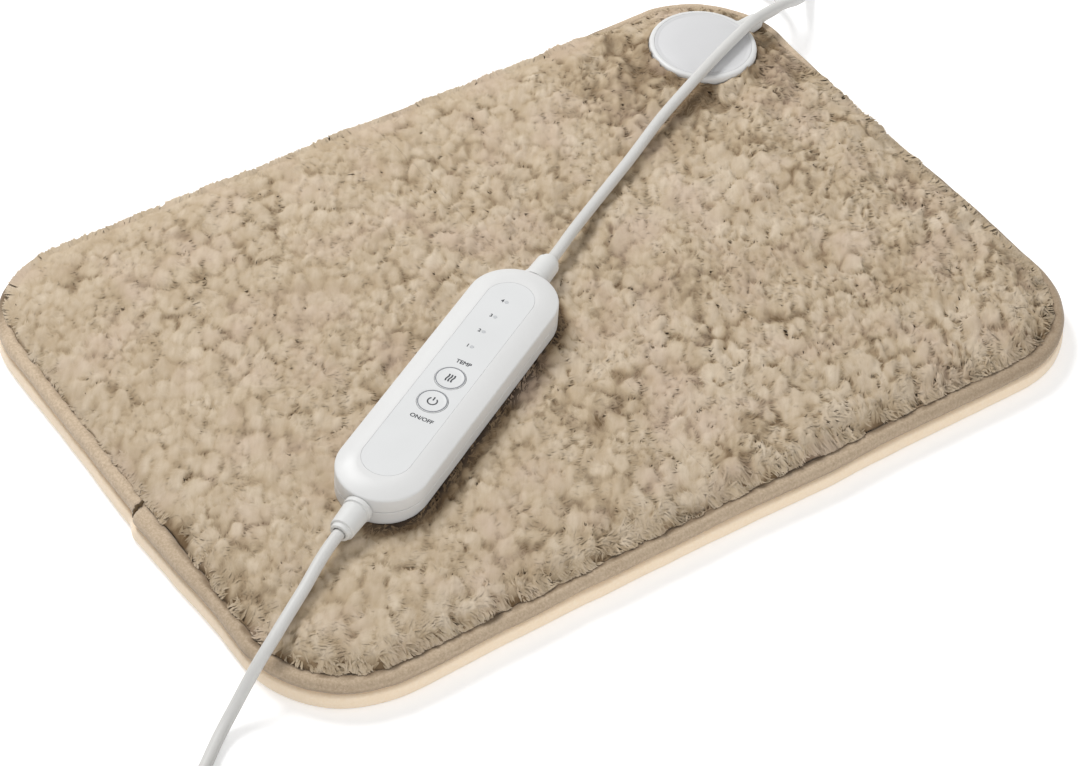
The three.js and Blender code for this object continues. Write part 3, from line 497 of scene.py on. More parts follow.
def linear(code):
    """A colour as it is seen, in the renderer's own numbers."""
    parts = [int(code[i:i + 2], 16) / 255 for i in (0, 2, 4)]
    return tuple(p / 12.92 if p <= 0.04045 else ((p + 0.055) / 1.055) ** 2.4 for p in parts)


def pile_material():
    """Plush: painted shade between the tufts and painted light at their tips, read from a per-point
    attribute, with slow shifts of tone.
    """
    material, tree, shader = new_material("plush_pile")
    depth, tone = attribute_node(tree, "painted_pile_shade"), attribute_node(tree, "tuft_tone")
    strand = noise_node(tree, 420, 3, stretch=(4, 1, 2), turn=NAP_HEADING)
    small, large = noise_node(tree, 75), noise_node(tree, 34, 3)
    # From painted shade in the creases and pits to painted light at the tips, then random tone,
    # streaks and patches
    colour = linear("614b33")
    for value, start, end, most, other in (
        (depth, 0.05, 0.65, 1, "c1af95"), (depth, 0.6, 1.02, 1, "d8c9b4"),
        (tone, 0, 1, 0.3, "b39d80"), (strand, 0.35, 0.7, 0.25, "a08a6c"),
        (small, 0.42, 0.7, 0.38, "a99376"), (large, 0.5, 0.72, 0.45, "ccb6a5"),
    ):
        share = ranged(tree, value, start, end, 0, most)
        colour = mix_colors(tree, share, colour, linear(other))
    # The darkest painted shade: in the controller's shadow, and faintly in the deepest pits
    colour = mix_colors(tree, ranged(tree, depth, -0.3, 0.05), linear("40342b"), colour)
    set_inputs(tree, shader, {
        "Base Color": colour, "Roughness": 1, "Specular IOR Level": 0.1, "Sheen Weight": 0.1,
        "Sheen Roughness": 0.6, "Sheen Tint": (*linear("e6d8c0"), 1),
        "Normal": bumped(tree, noise_node(tree, 1400, 3), 0.15, 0.0006),
    })
    return material


def cloth_material(name, dark, light, scale, bump, sheen=0.3, painted_shade_colour=None):
    """A short-napped cloth with a fine speckle, slow shifts of tone and, when given a shade colour,
    painted shade from a per-point attribute.
    """
    material, tree, shader = new_material(name)
    dark, light = linear(dark), linear(light)
    speckle = noise_node(tree, scale, 4, roughness=0.65)
    patches = noise_node(tree, scale / 5, 3)
    colour = mix_colors(tree, ranged(tree, speckle, 0.38, 0.66), dark, light)
    colour = mix_colors(tree, ranged(tree, patches, 0.3, 0.7, 0, 0.3), colour, light)
    # Painted shade, as much as the per-point attribute says
    if painted_shade_colour:
        colour = mix_colors(tree, attribute_node(tree, "painted_binding_shade"), colour, linear(painted_shade_colour))
    set_inputs(tree, shader, {
        "Base Color": colour, "Roughness": 0.95, "Specular IOR Level": 0.15,
        "Sheen Weight": sheen, "Sheen Roughness": 0.5,
        "Normal": bumped(tree, speckle, bump, 0.0006),
    })
    return material


def blotched(tree, patches, code, shade):
    """A colour that darkens in patches."""
    colour = linear(code)
    darker = tuple(part * shade for part in colour)
    return mix_colors(tree, ranged(tree, patches, 0.3, 0.7), darker, colour)


def plastic_material(name, colour, roughness=0.38, grain=900, bump=0.03):
    """Moulded plastic with a faint grain and slightly uneven gloss."""
    material, tree, shader = new_material(name)
    gloss = noise_node(tree, 60, 3)
    set_inputs(tree, shader, {
        "Base Color": blotched(tree, noise_node(tree, 25, 3), colour, 0.97),
        "Roughness": ranged(tree, gloss, 0.3, 0.7, roughness - 0.05, roughness + 0.07),
        "Normal": bumped(tree, noise_node(tree, grain), bump, 0.0002),
    })
    return material


def metal_material(name, colour, roughness=0.3):
    material, tree, shader = new_material(name)
    patches = noise_node(tree, 300, 3, stretch=(6, 1, 1))
    set_inputs(tree, shader, {
        "Base Color": blotched(tree, patches, colour, 0.85), "Metallic": 1,
        "Roughness": ranged(tree, patches, 0.3, 0.7, roughness, roughness + 0.12),
    })
    return material


MATERIALS = {
    "pile": pile_material(),
    # The binding's darker colour is painted shade
    "binding": cloth_material("binding_velour", "baa58b", "d4c0a7", 900, 0.3, painted_shade_colour="665036"),
    # A dark cloth for the painted shadow in the binding's lap slit
    "slit_shadow": cloth_material("lap_shadow", "4a3b26", "67543b", 900, 0.4),
    "backing": cloth_material("backing_flannel", "f7e1c3", "fbe8cf", 700, 0.1, 0.5),
    "wadding": cloth_material("white_wadding", "e6e3db", "f6f4ee", 300, 0.4),
    "carrier": cloth_material("carrier_cloth", "d9d4c4", "ebe7da", 600, 0.3),
    "shell": plastic_material("white_shell", "dcdcdb", 0.42),
    "panel": plastic_material("white_panel", "dbdcdc", 0.36, bump=0.015),
    "lid": plastic_material("hub_lid_shell", "d2d2d3", 0.4, bump=0.02),
    "rubber": plastic_material("white_rubber", "dadad8", 0.55, grain=600, bump=0.05),
    "cord": plastic_material("cord_jacket", "d0cfcc", 0.5, grain=500, bump=0.04),
    "print": plastic_material("grey_print", "37393d", 0.6, bump=0.01),
    "pale_print": plastic_material("pale_print", "77797e", 0.6, bump=0.01),
    "dark": plastic_material("dark_plastic", "2a2c30", 0.5),
    "board": plastic_material("circuit_board", "2f7a48", 0.45, grain=300),
    "ceramic": plastic_material("ceramic_body", "d9d2c0", 0.4),
    "amber": plastic_material("amber_case", "d9b23e", 0.35),
    "clear": plastic_material("light_pipe_lens", "c4c6c8", 0.2),
    "wire": plastic_material("wire_sleeve", "dcd8cc", 0.6),
    "steel": metal_material("screw_steel", "b8bbbe"),
    "nickel": metal_material("pin_nickel", "c9cac6", 0.22),
}


# Cords

def round_curve(name, radius, steps):
    curve = bpy.data.curves.new(name, "CURVE")
    curve.dimensions = "3D"
    curve.bevel_depth = radius * MM
    curve.bevel_resolution = steps
    curve.use_fill_caps = True
    return curve


def catmull_rom_piece(name, points):
    """A cord on one smooth curve through every point, with handles that follow its neighbours."""
    curve = round_curve(name, CORD_RADIUS, 5)
    curve.resolution_u = 8
    spline = curve.splines.new("BEZIER")
    spline.bezier_points.add(len(points) - 1)
    points = [Vector(p) for p in points]
    for i, (point, knot) in enumerate(zip(points, spline.bezier_points)):
        before = points[i - 1] if i else point * 2 - points[1]
        after = points[i + 1] if i + 1 < len(points) else point * 2 - points[-2]
        gap_before = (point - before).length ** 0.5
        gap_after = (after - point).length ** 0.5
        heading = ((point - before) / gap_before ** 2 * gap_after
                   + (after - point) / gap_after ** 2 * gap_before) / (gap_before + gap_after)
        knot.co = point * MM
        knot.handle_left_type = knot.handle_right_type = "FREE"
        knot.handle_left = (point - heading * gap_before ** 2 / 3) * MM
        knot.handle_right = (point + heading * gap_after ** 2 / 3) * MM
    curve.materials.append(MATERIALS["cord"])
    return linked(name, curve)


def coil_point(turn):
    """A point of the coil: turns inward, a climb onto them, and turns outward."""
    climb = min(max((turn - COIL_INWARD) / COIL_CLIMB, 0), 1)
    inner = COIL_OUTER_RADIUS - COIL_PITCH * COIL_INWARD
    if turn <= COIL_INWARD:
        radius = COIL_OUTER_RADIUS - COIL_PITCH * turn
    elif climb < 1:
        radius = inner - COIL_DIP * math.sin(math.pi * climb)
    else:
        radius = inner + COIL_PITCH * (turn - COIL_INWARD - COIL_CLIMB)
    rise = climb - math.sin(2 * math.pi * climb) / (2 * math.pi)
    angle = COIL_ENTRY + turn * 2 * math.pi
    return (COIL[0] + radius * math.cos(angle), COIL[1] + radius * math.sin(angle),
            COIL_FLOOR + COIL_LAYER_RISE * rise)


def coil_end():
    """Where the coil's cord ends, one diameter straight on from its last turn, and its heading."""
    x, y, z = coil_point(COIL_TURNS)
    heading = COIL_ENTRY + COIL_TURNS * 2 * math.pi + math.pi / 2
    end = (x + CORD_DIAMETER * math.cos(heading), y + CORD_DIAMETER * math.sin(heading), z)
    return end, heading


def make_plug():
    (x, y, z), heading = coil_end()
    boot_profile = [(0, FIT), (3.6, FIT)]
    for i in range(5):
        start = 2.5 + i * 4.3
        radius = 3.7 + 0.34 * i
        boot_profile += [(radius, start), (radius - 0.55, start + 0.5),
                         (radius - 0.55, start + 1.5), (radius + 0.2, start + 2)]
    boot_profile += [(5.4, 24.6), (5.4, 25.3), (0, 25.3)]
    boot = ring_piece("plug_strain_relief", turned_rings(softened(boot_profile, 0.25), 32, "x"),
                      "rubber")
    rings = []
    for share in np.linspace(0, 1, 25):
        waist = PLUG_WAIST * math.sin(math.pi * min(share / 0.8, 1)) ** 2
        end_round = PLUG_ROUND * (1 - min(min(share, 1 - share) / 0.07, 1)) ** 2
        half = (PLUG_HALF_WIDTH - waist - end_round, PLUG_HALF_HEIGHT - waist - end_round)
        ring, _ = outline(*half, 5 - end_round / 2, 6)
        along = np.full(len(ring), PLUG_START + PLUG_LENGTH * share)
        rings.append(np.column_stack([along, ring]))
    pieces = [boot, ring_piece("plug_grip", rings, "shell")]
    start = PLUG_START + PLUG_LENGTH + FIT
    profile = [(0, start), (1.7, start), (1.7, start + 9), (2, start + 9.2),
               (2, start + 17.4), (1.4, start + 18.6), (0, start + 19)]
    for letter, side in (("a", -1), ("b", 1)):
        pin = ring_piece(f"plug_contact_{letter}", turned_rings(softened(profile, 0.2), 24, "x"),
                         "nickel")
        pin.data.transform(Matrix.Translation((0, side * PIN_OFFSET * MM, 0)))
        pieces.append(pin)
    for piece, node, slot in zip(pieces, ("plug_boot", "plug_body", "plug_pin_a", "plug_pin_b"),
                                 ("white_rubber", "white_shell", "pin_nickel", "pin_nickel")):
        sharpen(piece)
        place(piece, x, y, z, heading)
        dress(piece, slot, node)
    return pieces


def make_tie():
    """A flat band round one side of the coil, a little pinched between its flat top and sides."""
    tie_angle = COIL_ENTRY + 0.25 * 2 * math.pi
    inner = COIL_OUTER_RADIUS - COIL_PITCH * 3.25 - CORD_RADIUS - 1.6
    outer = COIL_OUTER_RADIUS - COIL_PITCH * 0.25 + CORD_RADIUS + 1.6
    floor, top = 0.1, high("coil_tie")[2]
    half = ((outer - inner) / 2, (top - floor) / 2)
    rings = []
    ring, normals = outline(*half, CORD_RADIUS + TIE_THICKNESS, 10)
    for depth, side in ((0, -1), (0, 1), (TIE_THICKNESS, 1), (TIE_THICKNESS, -1)):
        u, v = (ring - normals * depth).T
        across = np.full(len(ring), float(side * TIE_HALF_WIDTH))
        rings.append(np.column_stack([u + (inner + outer) / 2, across, v + (top + floor) / 2]))
    tie = ring_piece("cord_tie_band", rings, "dark", closed=True)
    sharpen(tie)
    place(tie, *COIL, 0, tie_angle)
    dress(tie, "tie_band", "coil_tie")
    return tie


def make_cords():
    pad_lead = catmull_rom_piece("pad_lead_cord", PAD_LEAD_ROUTE)
    dress(pad_lead, "cord_jacket", "pad_lead")

    count = round(COIL_TURNS * COIL_STEPS_PER_TURN)
    coil = [coil_point(COIL_TURNS * i / count) for i in range(count + 1)]
    route = MAINS_LEAD_ROUTE + coil + [coil_end()[0]]
    mains_lead = catmull_rom_piece("mains_lead_cord", route)
    dress(mains_lead, "cord_jacket", "mains_lead_run", "mains_lead_coil")
    make_tie()
    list(make_plug())


# The controller

def stadium_rings(profile, half_length, half_width):
    return swept_rings(outline(half_length, half_width, half_width, END_STEPS), profile)


def drilled(piece, holes, floor, top):
    """Cuts round holes straight down through a piece."""
    for u, v, radius, steps in holes:
        tool = ring_piece("drill", turned_rings([(radius, floor), (radius, top)], steps), "panel")
        place(tool, u, v, 0)
        cut = piece.modifiers.new("hole", "BOOLEAN")
        cut.operation = "DIFFERENCE"
        cut.solver = "EXACT"
        cut.object = tool
        mesh = evaluated_mesh(piece)
        piece.modifiers.clear()
        piece.data = mesh
        bpy.data.objects.remove(tool)


def make_controller():
    size = (CONTROLLER_HALF_LENGTH, CONTROLLER_HALF_WIDTH)
    top = CONTROLLER_HEIGHT
    base = in_controller(ring_piece("controller_tray", stadium_rings([
        *rounded_corner((3.2, 0), (0, 0), (0, 3.2), 8), (0, PARTING - 0.3), (0.15, PARTING - 0.12),
        (CONTROLLER_WALL, PARTING - 0.12), (CONTROLLER_WALL, 3.2), (3, 1.8),
    ], *size), "shell"))
    margin = PANEL_SIDE_MARGIN - PANEL_OPENING
    panel_half = np.array(size) - (PANEL_END_MARGIN, PANEL_SIDE_MARGIN)
    opening = stadium_rings([(0, top - 2.2), (0, top - 0.05), (-0.04, top)],
                            *(panel_half + PANEL_OPENING))
    slope = stadium_rings([
        (margin, top), (margin - 0.5, top - 0.01), (7.4, top - 0.3), (5.2, top - 0.84),
        (3.3, top - 1.48), (2, top - 2.04), (0.9, top - 2.5),
        *rounded_corner((0.75, top - 2.58), (0.1, top - 2.9), (0, top - 3.6), 6),
        (0, PARTING + 0.3), (0.15, PARTING + 0.12), (CONTROLLER_WALL, PARTING + 0.12),
        (CONTROLLER_WALL, top - 4.5), (margin, top - 2.2),
    ], *size)
    cover = in_controller(ring_piece("controller_lid", opening + slope, "shell", closed=True))
    panel = ring_piece("controller_face", stadium_rings([
        (0, top - 0.7), (0, top - 0.05), (0.04, top),
    ], *(panel_half + FIT / 2)), "panel")
    holes = [(u, BUTTON_V, BUTTON_RADIUS + 0.2, 72) for u in BUTTONS.values()]
    holes += [(u, LIGHT_V, LIGHT_RADIUS + 0.05, 24) for u in LIGHTS]
    drilled(panel, holes, top - 2, top + 1)
    in_controller(panel)
    for piece, node, slot in ((base, "controller_base", "white_shell"),
                              (cover, "controller_cover", "white_shell"),
                              (panel, "face_panel", "white_panel")):
        sharpen(piece)
        dress(piece, slot, node)


# Printing on the controller's face, all of it generic

def raised_line(name, rings, material, whole=False):
    """A thin raised line of four rows of points, closed on itself if it is whole."""
    count = len(rings[0])
    faces = grid_faces(4, count, True, whole)
    if not whole:
        faces += [[k * count for k in range(4)], [k * count + count - 1 for k in range(4)]]
    piece = add_mesh(name, np.array(rings).reshape(-1, 3), faces, material, smooth=False)
    make_consistent(piece)
    return piece


def flat_ring(name, radius, width, material, arc=None, steps=64):
    """A thin raised ring, or an arc of one between two angles."""
    start, end = arc or (0, 2 * math.pi)
    angles = start + (end - start) * np.arange(steps + (arc is not None)) / steps
    rings = [[(reach * math.cos(a), reach * math.sin(a), level) for a in angles]
             for reach, level in ((radius - width / 2, 0), (radius - width / 2, PRINT_DEPTH),
                                  (radius + width / 2, PRINT_DEPTH), (radius + width / 2, 0))]
    return raised_line(name, rings, material, whole=arc is None)


def stroke(name, points, width, material):
    """A thin raised line through flat points."""
    points = np.array(points, float)
    ahead = np.gradient(points, axis=0)
    ahead /= np.linalg.norm(ahead, axis=1)[:, None]
    side = np.column_stack([-ahead[:, 1], ahead[:, 0]]) * width / 2
    rings = [np.column_stack([points + sign * side, np.full(len(points), level)])
             for sign, level in ((-1, 0), (-1, PRINT_DEPTH), (1, PRINT_DEPTH), (1, 0))]
    return raised_line(name, rings, material)


def words(name, text, size):
    """Raised lettering, centred on the origin, as a mesh."""
    curve = bpy.data.curves.new(name, "FONT")
    curve.body = text
    curve.size = size * MM
    curve.align_x = curve.align_y = "CENTER"
    # The bevel makes the strokes bolder; an offset would fold over itself in the M
    half = PRINT_DEPTH / 2
    curve.extrude = half * MM
    curve.bevel_depth = BOLDER * MM
    curve.bevel_resolution = 0
    curve.resolution_u = 4
    label = curve_piece(name, curve, "print")
    flat = Matrix.Diagonal((1, 1, half / (half + BOLDER), 1))
    label.data.transform(Matrix.Translation((0, 0, half * MM)) @ flat)
    label.data.polygons.foreach_set("use_smooth", [False] * len(label.data.polygons))
    return label


def on_face(piece, u, v, height, turn=0.0):
    """Sets a flat piece on the controller's face at a height."""
    place(piece, u, v, height, turn)
    return in_controller(piece)


def joined(name, pieces):
    """Several flat pieces as one."""
    for piece in bpy.context.selected_objects:
        piece.select_set(False)
    for piece in pieces:
        piece.select_set(True)
    bpy.context.view_layer.objects.active = pieces[0]
    bpy.ops.object.join()
    pieces[0].name = name
    return pieces[0]


PRINT_DEPTH = 0.04
BOLDER = 0.09
LABEL_SIZE = 3.1
NUMERAL_SIZE = 2.7
CAP_RISE = 0.3
CAP_DISH = 0.12


def make_buttons():
    cap_top = CONTROLLER_HEIGHT + CAP_RISE
    dish = cap_top - CAP_DISH
    for name, u in BUTTONS.items():
        profile = [(0, 17), (BUTTON_RADIUS, 17), (BUTTON_RADIUS, cap_top), (6, cap_top),
                   (5, dish), (0, dish)]
        cap = ring_piece(f"{name}_cap", turned_rings(softened(profile, 0.3), 72)[1:-1], "panel")
        sharpen(cap, 50)
        on_face(cap, u, BUTTON_V, 0)
        dress(cap, "white_panel", f"{name}_button", body=f"{name}_button")

        if name == "temp":
            lines = []
            for i in (-1, 0, 1):
                wave = [(-2.3 + 4.6 * k / 12, 1.35 * i + 0.24 * math.sin(k / 12 * 2 * math.pi))
                        for k in range(13)]
                lines.append(stroke(f"wave_{i + 2}", wave, 0.72, "print"))
            icon = joined("temp_icon", lines)
        else:
            ring = flat_ring("power_arc", 2.15, 0.66, "print",
                             arc=(math.radians(38), math.radians(322)), steps=40)
            bar = stroke("power_bar", [(0.5, 0), (2.7, 0)], 0.66, "print")
            icon = joined("power_icon", [ring, bar])
        rim = flat_ring(f"{name}_ring", 6.5, 0.5, "pale_print")
        for piece, height in ((icon, dish), (rim, cap_top)):
            on_face(piece, u, BUTTON_V, height)
            dress(piece, body=f"{name}_button")


def make_print():
    labels = [("temp_label", "TEMP", LABEL_SIZE, 10, -1.4),
              ("power_label", "ON/OFF", LABEL_SIZE, -29.2, -1.7)]
    labels += [(f"numeral_{4 - i}", str(4 - i), NUMERAL_SIZE, u, LIGHT_V + 2.1)
               for i, u in enumerate(LIGHTS)]
    for name, text, size, u, v in labels:
        label = words(name, text, size)
        on_face(label, u, v, CONTROLLER_HEIGHT, -math.pi / 2)
        dress(label)


# Boots at both ends of the controller, and the hub

def make_boots():
    face = CONTROLLER_HALF_LENGTH + FIT
    for name, turn, groove in (("pad", 0, False), ("mains", math.pi, True)):
        profile = [(2.95, face - 10), (4.9, face - 10), (4.9, face - 6), (4.2, face - 5),
                   (4.2, face), (BOOT_RADIUS, face), (BOOT_RADIUS, face + 2.3)]
        if groove:
            profile += [(5.75, face + 2.5), (5.75, face + 3.2), (6.15, face + 3.4)]
        else:
            profile += [(6.1, face + 2.6)]
        profile += [(5.65, BOOT_REACH - 2.6), (5.5, BOOT_REACH - 2.2), (4.5, BOOT_REACH - 2.1),
                    (4.45, BOOT_REACH), (2.95, BOOT_REACH)]
        rings = turned_rings(softened(profile, 0.35, closed=True), 56, "x")
        boot = ring_piece(f"{name}_strain_relief", rings, "rubber", closed=True)
        sharpen(boot, 40)
        place(boot, 0, 0, BOOT_AXIS)
        place(boot, 0, 0, 0, turn)
        in_controller(boot)
        dress(boot, "white_rubber", f"{name}_boot")


def make_hub():
    wall = 1.6
    steps = 96
    base = ring_piece("hub_cup", turned_rings(softened([
        (0, PLUSH_FLOOR), (HUB_BASE_RADIUS, PLUSH_FLOOR), (HUB_BASE_RADIUS, HUB_RIM_FLOOR - FIT),
        (HUB_BASE_RADIUS - wall, HUB_RIM_FLOOR - FIT), (HUB_BASE_RADIUS - wall, PLUSH_FLOOR + wall),
        (0, PLUSH_FLOOR + wall),
    ], 0.25), steps)[1:-1], "shell")
    lid_edge = HUB_LID_RADIUS + FIT - 0.05
    lid_radius = HUB_LID_RADIUS + 0.15
    top = HUB_TOP
    rim = ring_piece("hub_ring", turned_rings([
        (HUB_BASE_RADIUS - wall, HUB_RIM_FLOOR), (HUB_RADIUS - 0.4, HUB_RIM_FLOOR),
        (HUB_RADIUS, HUB_RIM_FLOOR + 0.5), (HUB_RADIUS, top - 2.4),
        *rounded_corner((HUB_RADIUS, top - 2.2), (HUB_RADIUS, top), (HUB_RADIUS - 2.1, top), 9),
        (lid_edge + 0.05, top), (lid_edge, top - 0.05), (lid_edge, top - 2.9), (21.3, top - 2.9),
        (21.3, top - 4.7), (HUB_BASE_RADIUS - wall, top - 4.7),
    ], steps), "shell", closed=True)
    lid = ring_piece("hub_cover", turned_rings([
        (0.01, top - 2.6), (lid_radius, top - 2.6), (lid_radius, top - 0.1),
        (lid_radius - 0.06, top - 0.02), (lid_radius - 1.5, top),
        (lid_radius - 1.8, top - 0.12), (lid_radius - 2.1, top - 0.12),
        (lid_radius - 2.4, top), (lid_radius / 2, top), (0.01, top),
    ], steps), "lid")
    flange = 21
    gland = ring_piece("hub_strain_relief", turned_rings(softened([
        (2.95, flange - 2.2), (4.6, flange - 2.2), (4.6, flange), (3.7, flange),
        (3.7, HUB_RADIUS + FIT), (5.4, HUB_RADIUS + FIT), (5.4, HUB_RADIUS + 2.2),
        (4.9, HUB_RADIUS + 2.6), (4.2, GLAND_REACH), (2.95, GLAND_REACH),
    ], 0.3, closed=True), 48, "x"), "rubber", closed=True)
    place(gland, 0, 0, GLAND_HEIGHT)
    for piece, node, slot in ((base, "hub_base", "white_shell"), (rim, "hub_rim", "white_shell"),
                              (lid, "hub_lid", "white_shell"),
                              (gland, "hub_gland", "white_rubber")):
        sharpen(piece, 50)
        in_hub(piece)
        dress(piece, slot, node)


# The pad's edge: flannel backing below, folded velour binding above

LAP = np.array([-220.0, -13.0])


def ripple(points, seed, cell, depth):
    return depth * (2 * noise(*points.T, cell, seed) - 1)


def near_lap(points, width):
    """1 at the binding's lap joint, falling to 0 at a width from it."""
    return np.clip(1 - np.linalg.norm(points - LAP, axis=1) / width, 0, 1)


def binding_lift(points):
    """How much higher than its own top the binding lies beside points of the pad's outline."""
    return (ripple(points, 13, 30, 0.35) + ripple(points, 14, 7, 0.18)
            + 0.6 * near_lap(points, 9) - 1.4 * near_lap(points, 2.6)
            + 1.3 * smooth_step(-from_hub(*points.T), -75, -55))


def edge_sway(points):
    """How far in the sewn edge lies: it wanders slowly, and steps out past the lap joint."""
    below = LAP[1] - points[:, 1]
    past = smooth_step(below, -4, 4) * np.clip(1 - below / 70, 0, 1)
    past = past * (points[:, 0] < LAP[0] + 15)
    return ripple(points, 15, 55, 0.9) + ripple(points, 16, 26, 0.4) - 3 * past


def make_backing():
    path = outline(*PAD_HALF, PAD_CORNER, 40, 2)
    wave = edge_sway(path[0]) + ripple(path[0], 5, 18, 0.35) + ripple(path[0], 6, 7, 0.15)
    loose = [*rounded_corner((3, 0.02), (-0.8, 0), (-0.8, 3), 7), (-0.7, 5),
             *rounded_corner((-0.2, 7), (0.4, BACKING_TOP), (4, BACKING_TOP), 6)]
    profile = [(14, 0.4), (9, 0.12), *((inset + wave, height) for inset, height in loose),
               (PLUSH_INSET, BACKING_TOP - 0.05), (14, BACKING_TOP - 0.1)]
    backing = ring_piece("backing_skin", swept_rings(path, profile), "backing")
    dress(backing, "backing_cloth", "backing_cover")


def binding_profile():
    """The folded binding's section: inset, height and how freely each point wanders."""
    height = BINDING_TOP - BINDING_FLOOR
    middle = BINDING_FLOOR + height / 2
    arc = [(-1 + 2 * k / 16) * math.pi / 2 for k in range(17)]
    return [(3 * (1 - math.cos(a)), middle + height / 2 * math.sin(a), 1) for a in arc] + [
        (4.5, BINDING_TOP, 1), (6, BINDING_TOP - 0.1, 0.8), (6.8, BINDING_TOP - 0.3, 0.4),
        (7, BINDING_TOP - 0.8, 0.1), (6.8, HEM_TOP + FIT, 0), (3.6, HEM_TOP + FIT, 0),
        (3.4, BINDING_FLOOR + 2, 0), (6.8, BINDING_FLOOR + 1.6, 0), (7, BINDING_FLOOR + 0.2, 0),
    ]


def make_binding():
    path = outline(*PAD_HALF, PAD_CORNER, 56, 1)
    middle = (BINDING_TOP + BINDING_FLOOR) / 2
    sway = edge_sway(path[0]) + ripple(path[0], 11, 22, 0.3) + ripple(path[0], 12, 6, 0.15)
    sway = sway + 1.2 * near_lap(path[0], 2.4)
    lift = binding_lift(path[0])
    profile = []
    for inset, level, loose in binding_profile():
        above = max(0, (level - middle) / (BINDING_TOP - middle)) * loose
        profile.append((inset + sway * loose, level + lift * above))
    binding = ring_piece("folded_binding", swept_rings(path, profile), "binding", closed=True)
    x, y, z = np.array([corner.co for corner in binding.data.vertices]).T / MM
    inset, front = -to_outline(x, y, PAD_HALF, PAD_CORNER), at_front(x, y)
    # Painted shade on the binding: on its lower outer side, along its inner top under the plush's
    # overhang, on the far edges' outer strip, and over the front, most towards the right corner
    low_down = smooth_step(-z, -15, -9) * smooth_step(-inset, -3, 0)
    inner = smooth_step(inset + 1.6 * wobble(x, y, 4, 67) + 0.5 * front, 4.3, 5.9) * (z > 12)
    far = overhang(x, y) * smooth_step(-inset, -4.6, -2.2)
    add_attribute(binding.data, "painted_binding_shade", np.maximum.reduce([
        (0.2 + 0.5 * front) * low_down, (0.25 + 0.5 * front) * inner, 0.85 * far,
        (0.2 + 0.26 * smooth_step(x, 60, 190)) * front,
    ]))
    dress(binding, "binding_cloth", "edge_binding")


def make_lap_shadow():
    """A dark tube of painted shadow in the slit where the binding's ends lap."""
    sway = float(edge_sway(np.array([[-PAD_HALF[0], LAP[1]]]))[0])
    curve = round_curve("lap", 0.95, 2)
    section = binding_profile()[6:20]
    spline = curve.splines.new("POLY")
    spline.points.add(len(section) - 1)
    for k, (inset, level, _) in enumerate(section):
        skew = 0.35 * (k - 7) + 0.5 * math.sin(2.2 * k)
        middle = Vector((-PAD_HALF[0] + inset + sway + 0.45, LAP[1] + skew, level - 0.15))
        spline.points[k].co = (*(middle * MM), 1)
    dress(curve_piece("binding_lap_slit_shadow", curve, "slit_shadow"), "binding_cloth")


def make_filling():
    """The soft layers inside the pad, with rounded edges."""
    path = outline(*PAD_HALF, PAD_CORNER, 16, 8)
    for node, name, material, slot in (
        ("lower_wadding", "wadding_layer", "wadding", "wadding"),
        ("heater_carrier", "carrier_layer", "carrier", "carrier_cloth"),
    ):
        inset, floor, top = PAD_HALF[0] - high(node)[0], low(node)[2], high(node)[2]
        half = (top - floor) / 2
        edge = [(inset + half * (1 - math.cos(a)), floor + half + half * math.sin(a))
                for a in np.linspace(-math.pi / 2, math.pi / 2, 7)]
        slab = ring_piece(name, swept_rings(path, edge), material)
        dress(slab, slot, node)


# Places on the pad, seen from above

def from_hub(x, y):
    return np.hypot(x - HUB[0], y - HUB[1])


def in_controller_frame(x, y):
    return turned(x - CONTROLLER[0], y - CONTROLLER[1], CONTROLLER_TURN)


def outside_controller(x, y):
    """The distance outside the controller's outline, negative inside it."""
    half = (CONTROLLER_HALF_LENGTH, CONTROLLER_HALF_WIDTH)
    return to_outline(*in_controller_frame(x, y), half, CONTROLLER_HALF_WIDTH)


def past_hem(x, y):
    """The distance outside the plush's outline, negative inside it."""
    return to_outline(x, y, PAD_HALF, PAD_CORNER) + PLUSH_INSET


def plush_edge(x, y):
    """The distance outside the plush's outline, and the way that leads straight out of it."""
    half, corner = PAD_HALF - PLUSH_INSET, PAD_CORNER - PLUSH_INSET
    step = 0.05
    edge = to_outline(x, y, half, corner)
    out_x = (to_outline(x + step, y, half, corner) - edge) / step
    out_y = (to_outline(x, y + step, half, corner) - edge) / step
    return edge, out_x, out_y


def at_front(x, y, reach=16):
    """1 along the pad's front edge, 0 away from it."""
    return smooth_step(-y / PAD_HALF[1], -0.2, 0.6) * smooth_step(past_hem(x, y), -reach, -3)


def overhang(x, y):
    """1 where the nap runs out over the binding, 0 where it runs back from it or by the hub."""
    _, out_x, out_y = plush_edge(x, y)
    facing = out_x * math.cos(OVERHANG_HEADING) + out_y * math.sin(OVERHANG_HEADING)
    return smooth_step(facing, -0.2, 0.5) * (1 - smooth_step(-from_hub(x, y), -62, -46))


def beside_controller(x, y):
    """1 in the shade along the controller's right side, 0 away from it."""
    _, v = in_controller_frame(x, y)
    along = 0.15 + 0.85 * smooth_step(-v, -8, 12)
    return smooth_step(-outside_controller(x, y), -11, -0.5) * along


def beside_lead(x, y):
    """1 in the shade along the lead's right side, strongest near the hub, 0 away from it."""
    route = np.array(PAD_LEAD_ROUTE[:9])
    gap = 0.88 * (np.interp(x, route[:, 0], route[:, 1]) - y)
    along = smooth_step(x, 5, 25) * smooth_step(-x, -185, -160)
    along *= 0.45 + 0.55 * smooth_step(x, 60, 140)
    return smooth_step(-np.abs(gap - 2.5), -7.5, -1) * along


# The plush: a lumpy ground of tufts, and locks of pile that lie over it like shingles

TUFT_PITCH = 9
TUFT_ROW = TUFT_PITCH * math.sqrt(3) / 2
TUFT_JITTER = 0.4
TUFT_TABLE = 97
TUFT_LENGTH, TUFT_WIDTH = 1.3, 0.92
CREASE_WIDTH = 5.6
CREASE_DEPTH = 1.9
PIT_WIDTH = 3.6
GROUND_STEP = 0.9
SMALL_TUFTS = 1.7
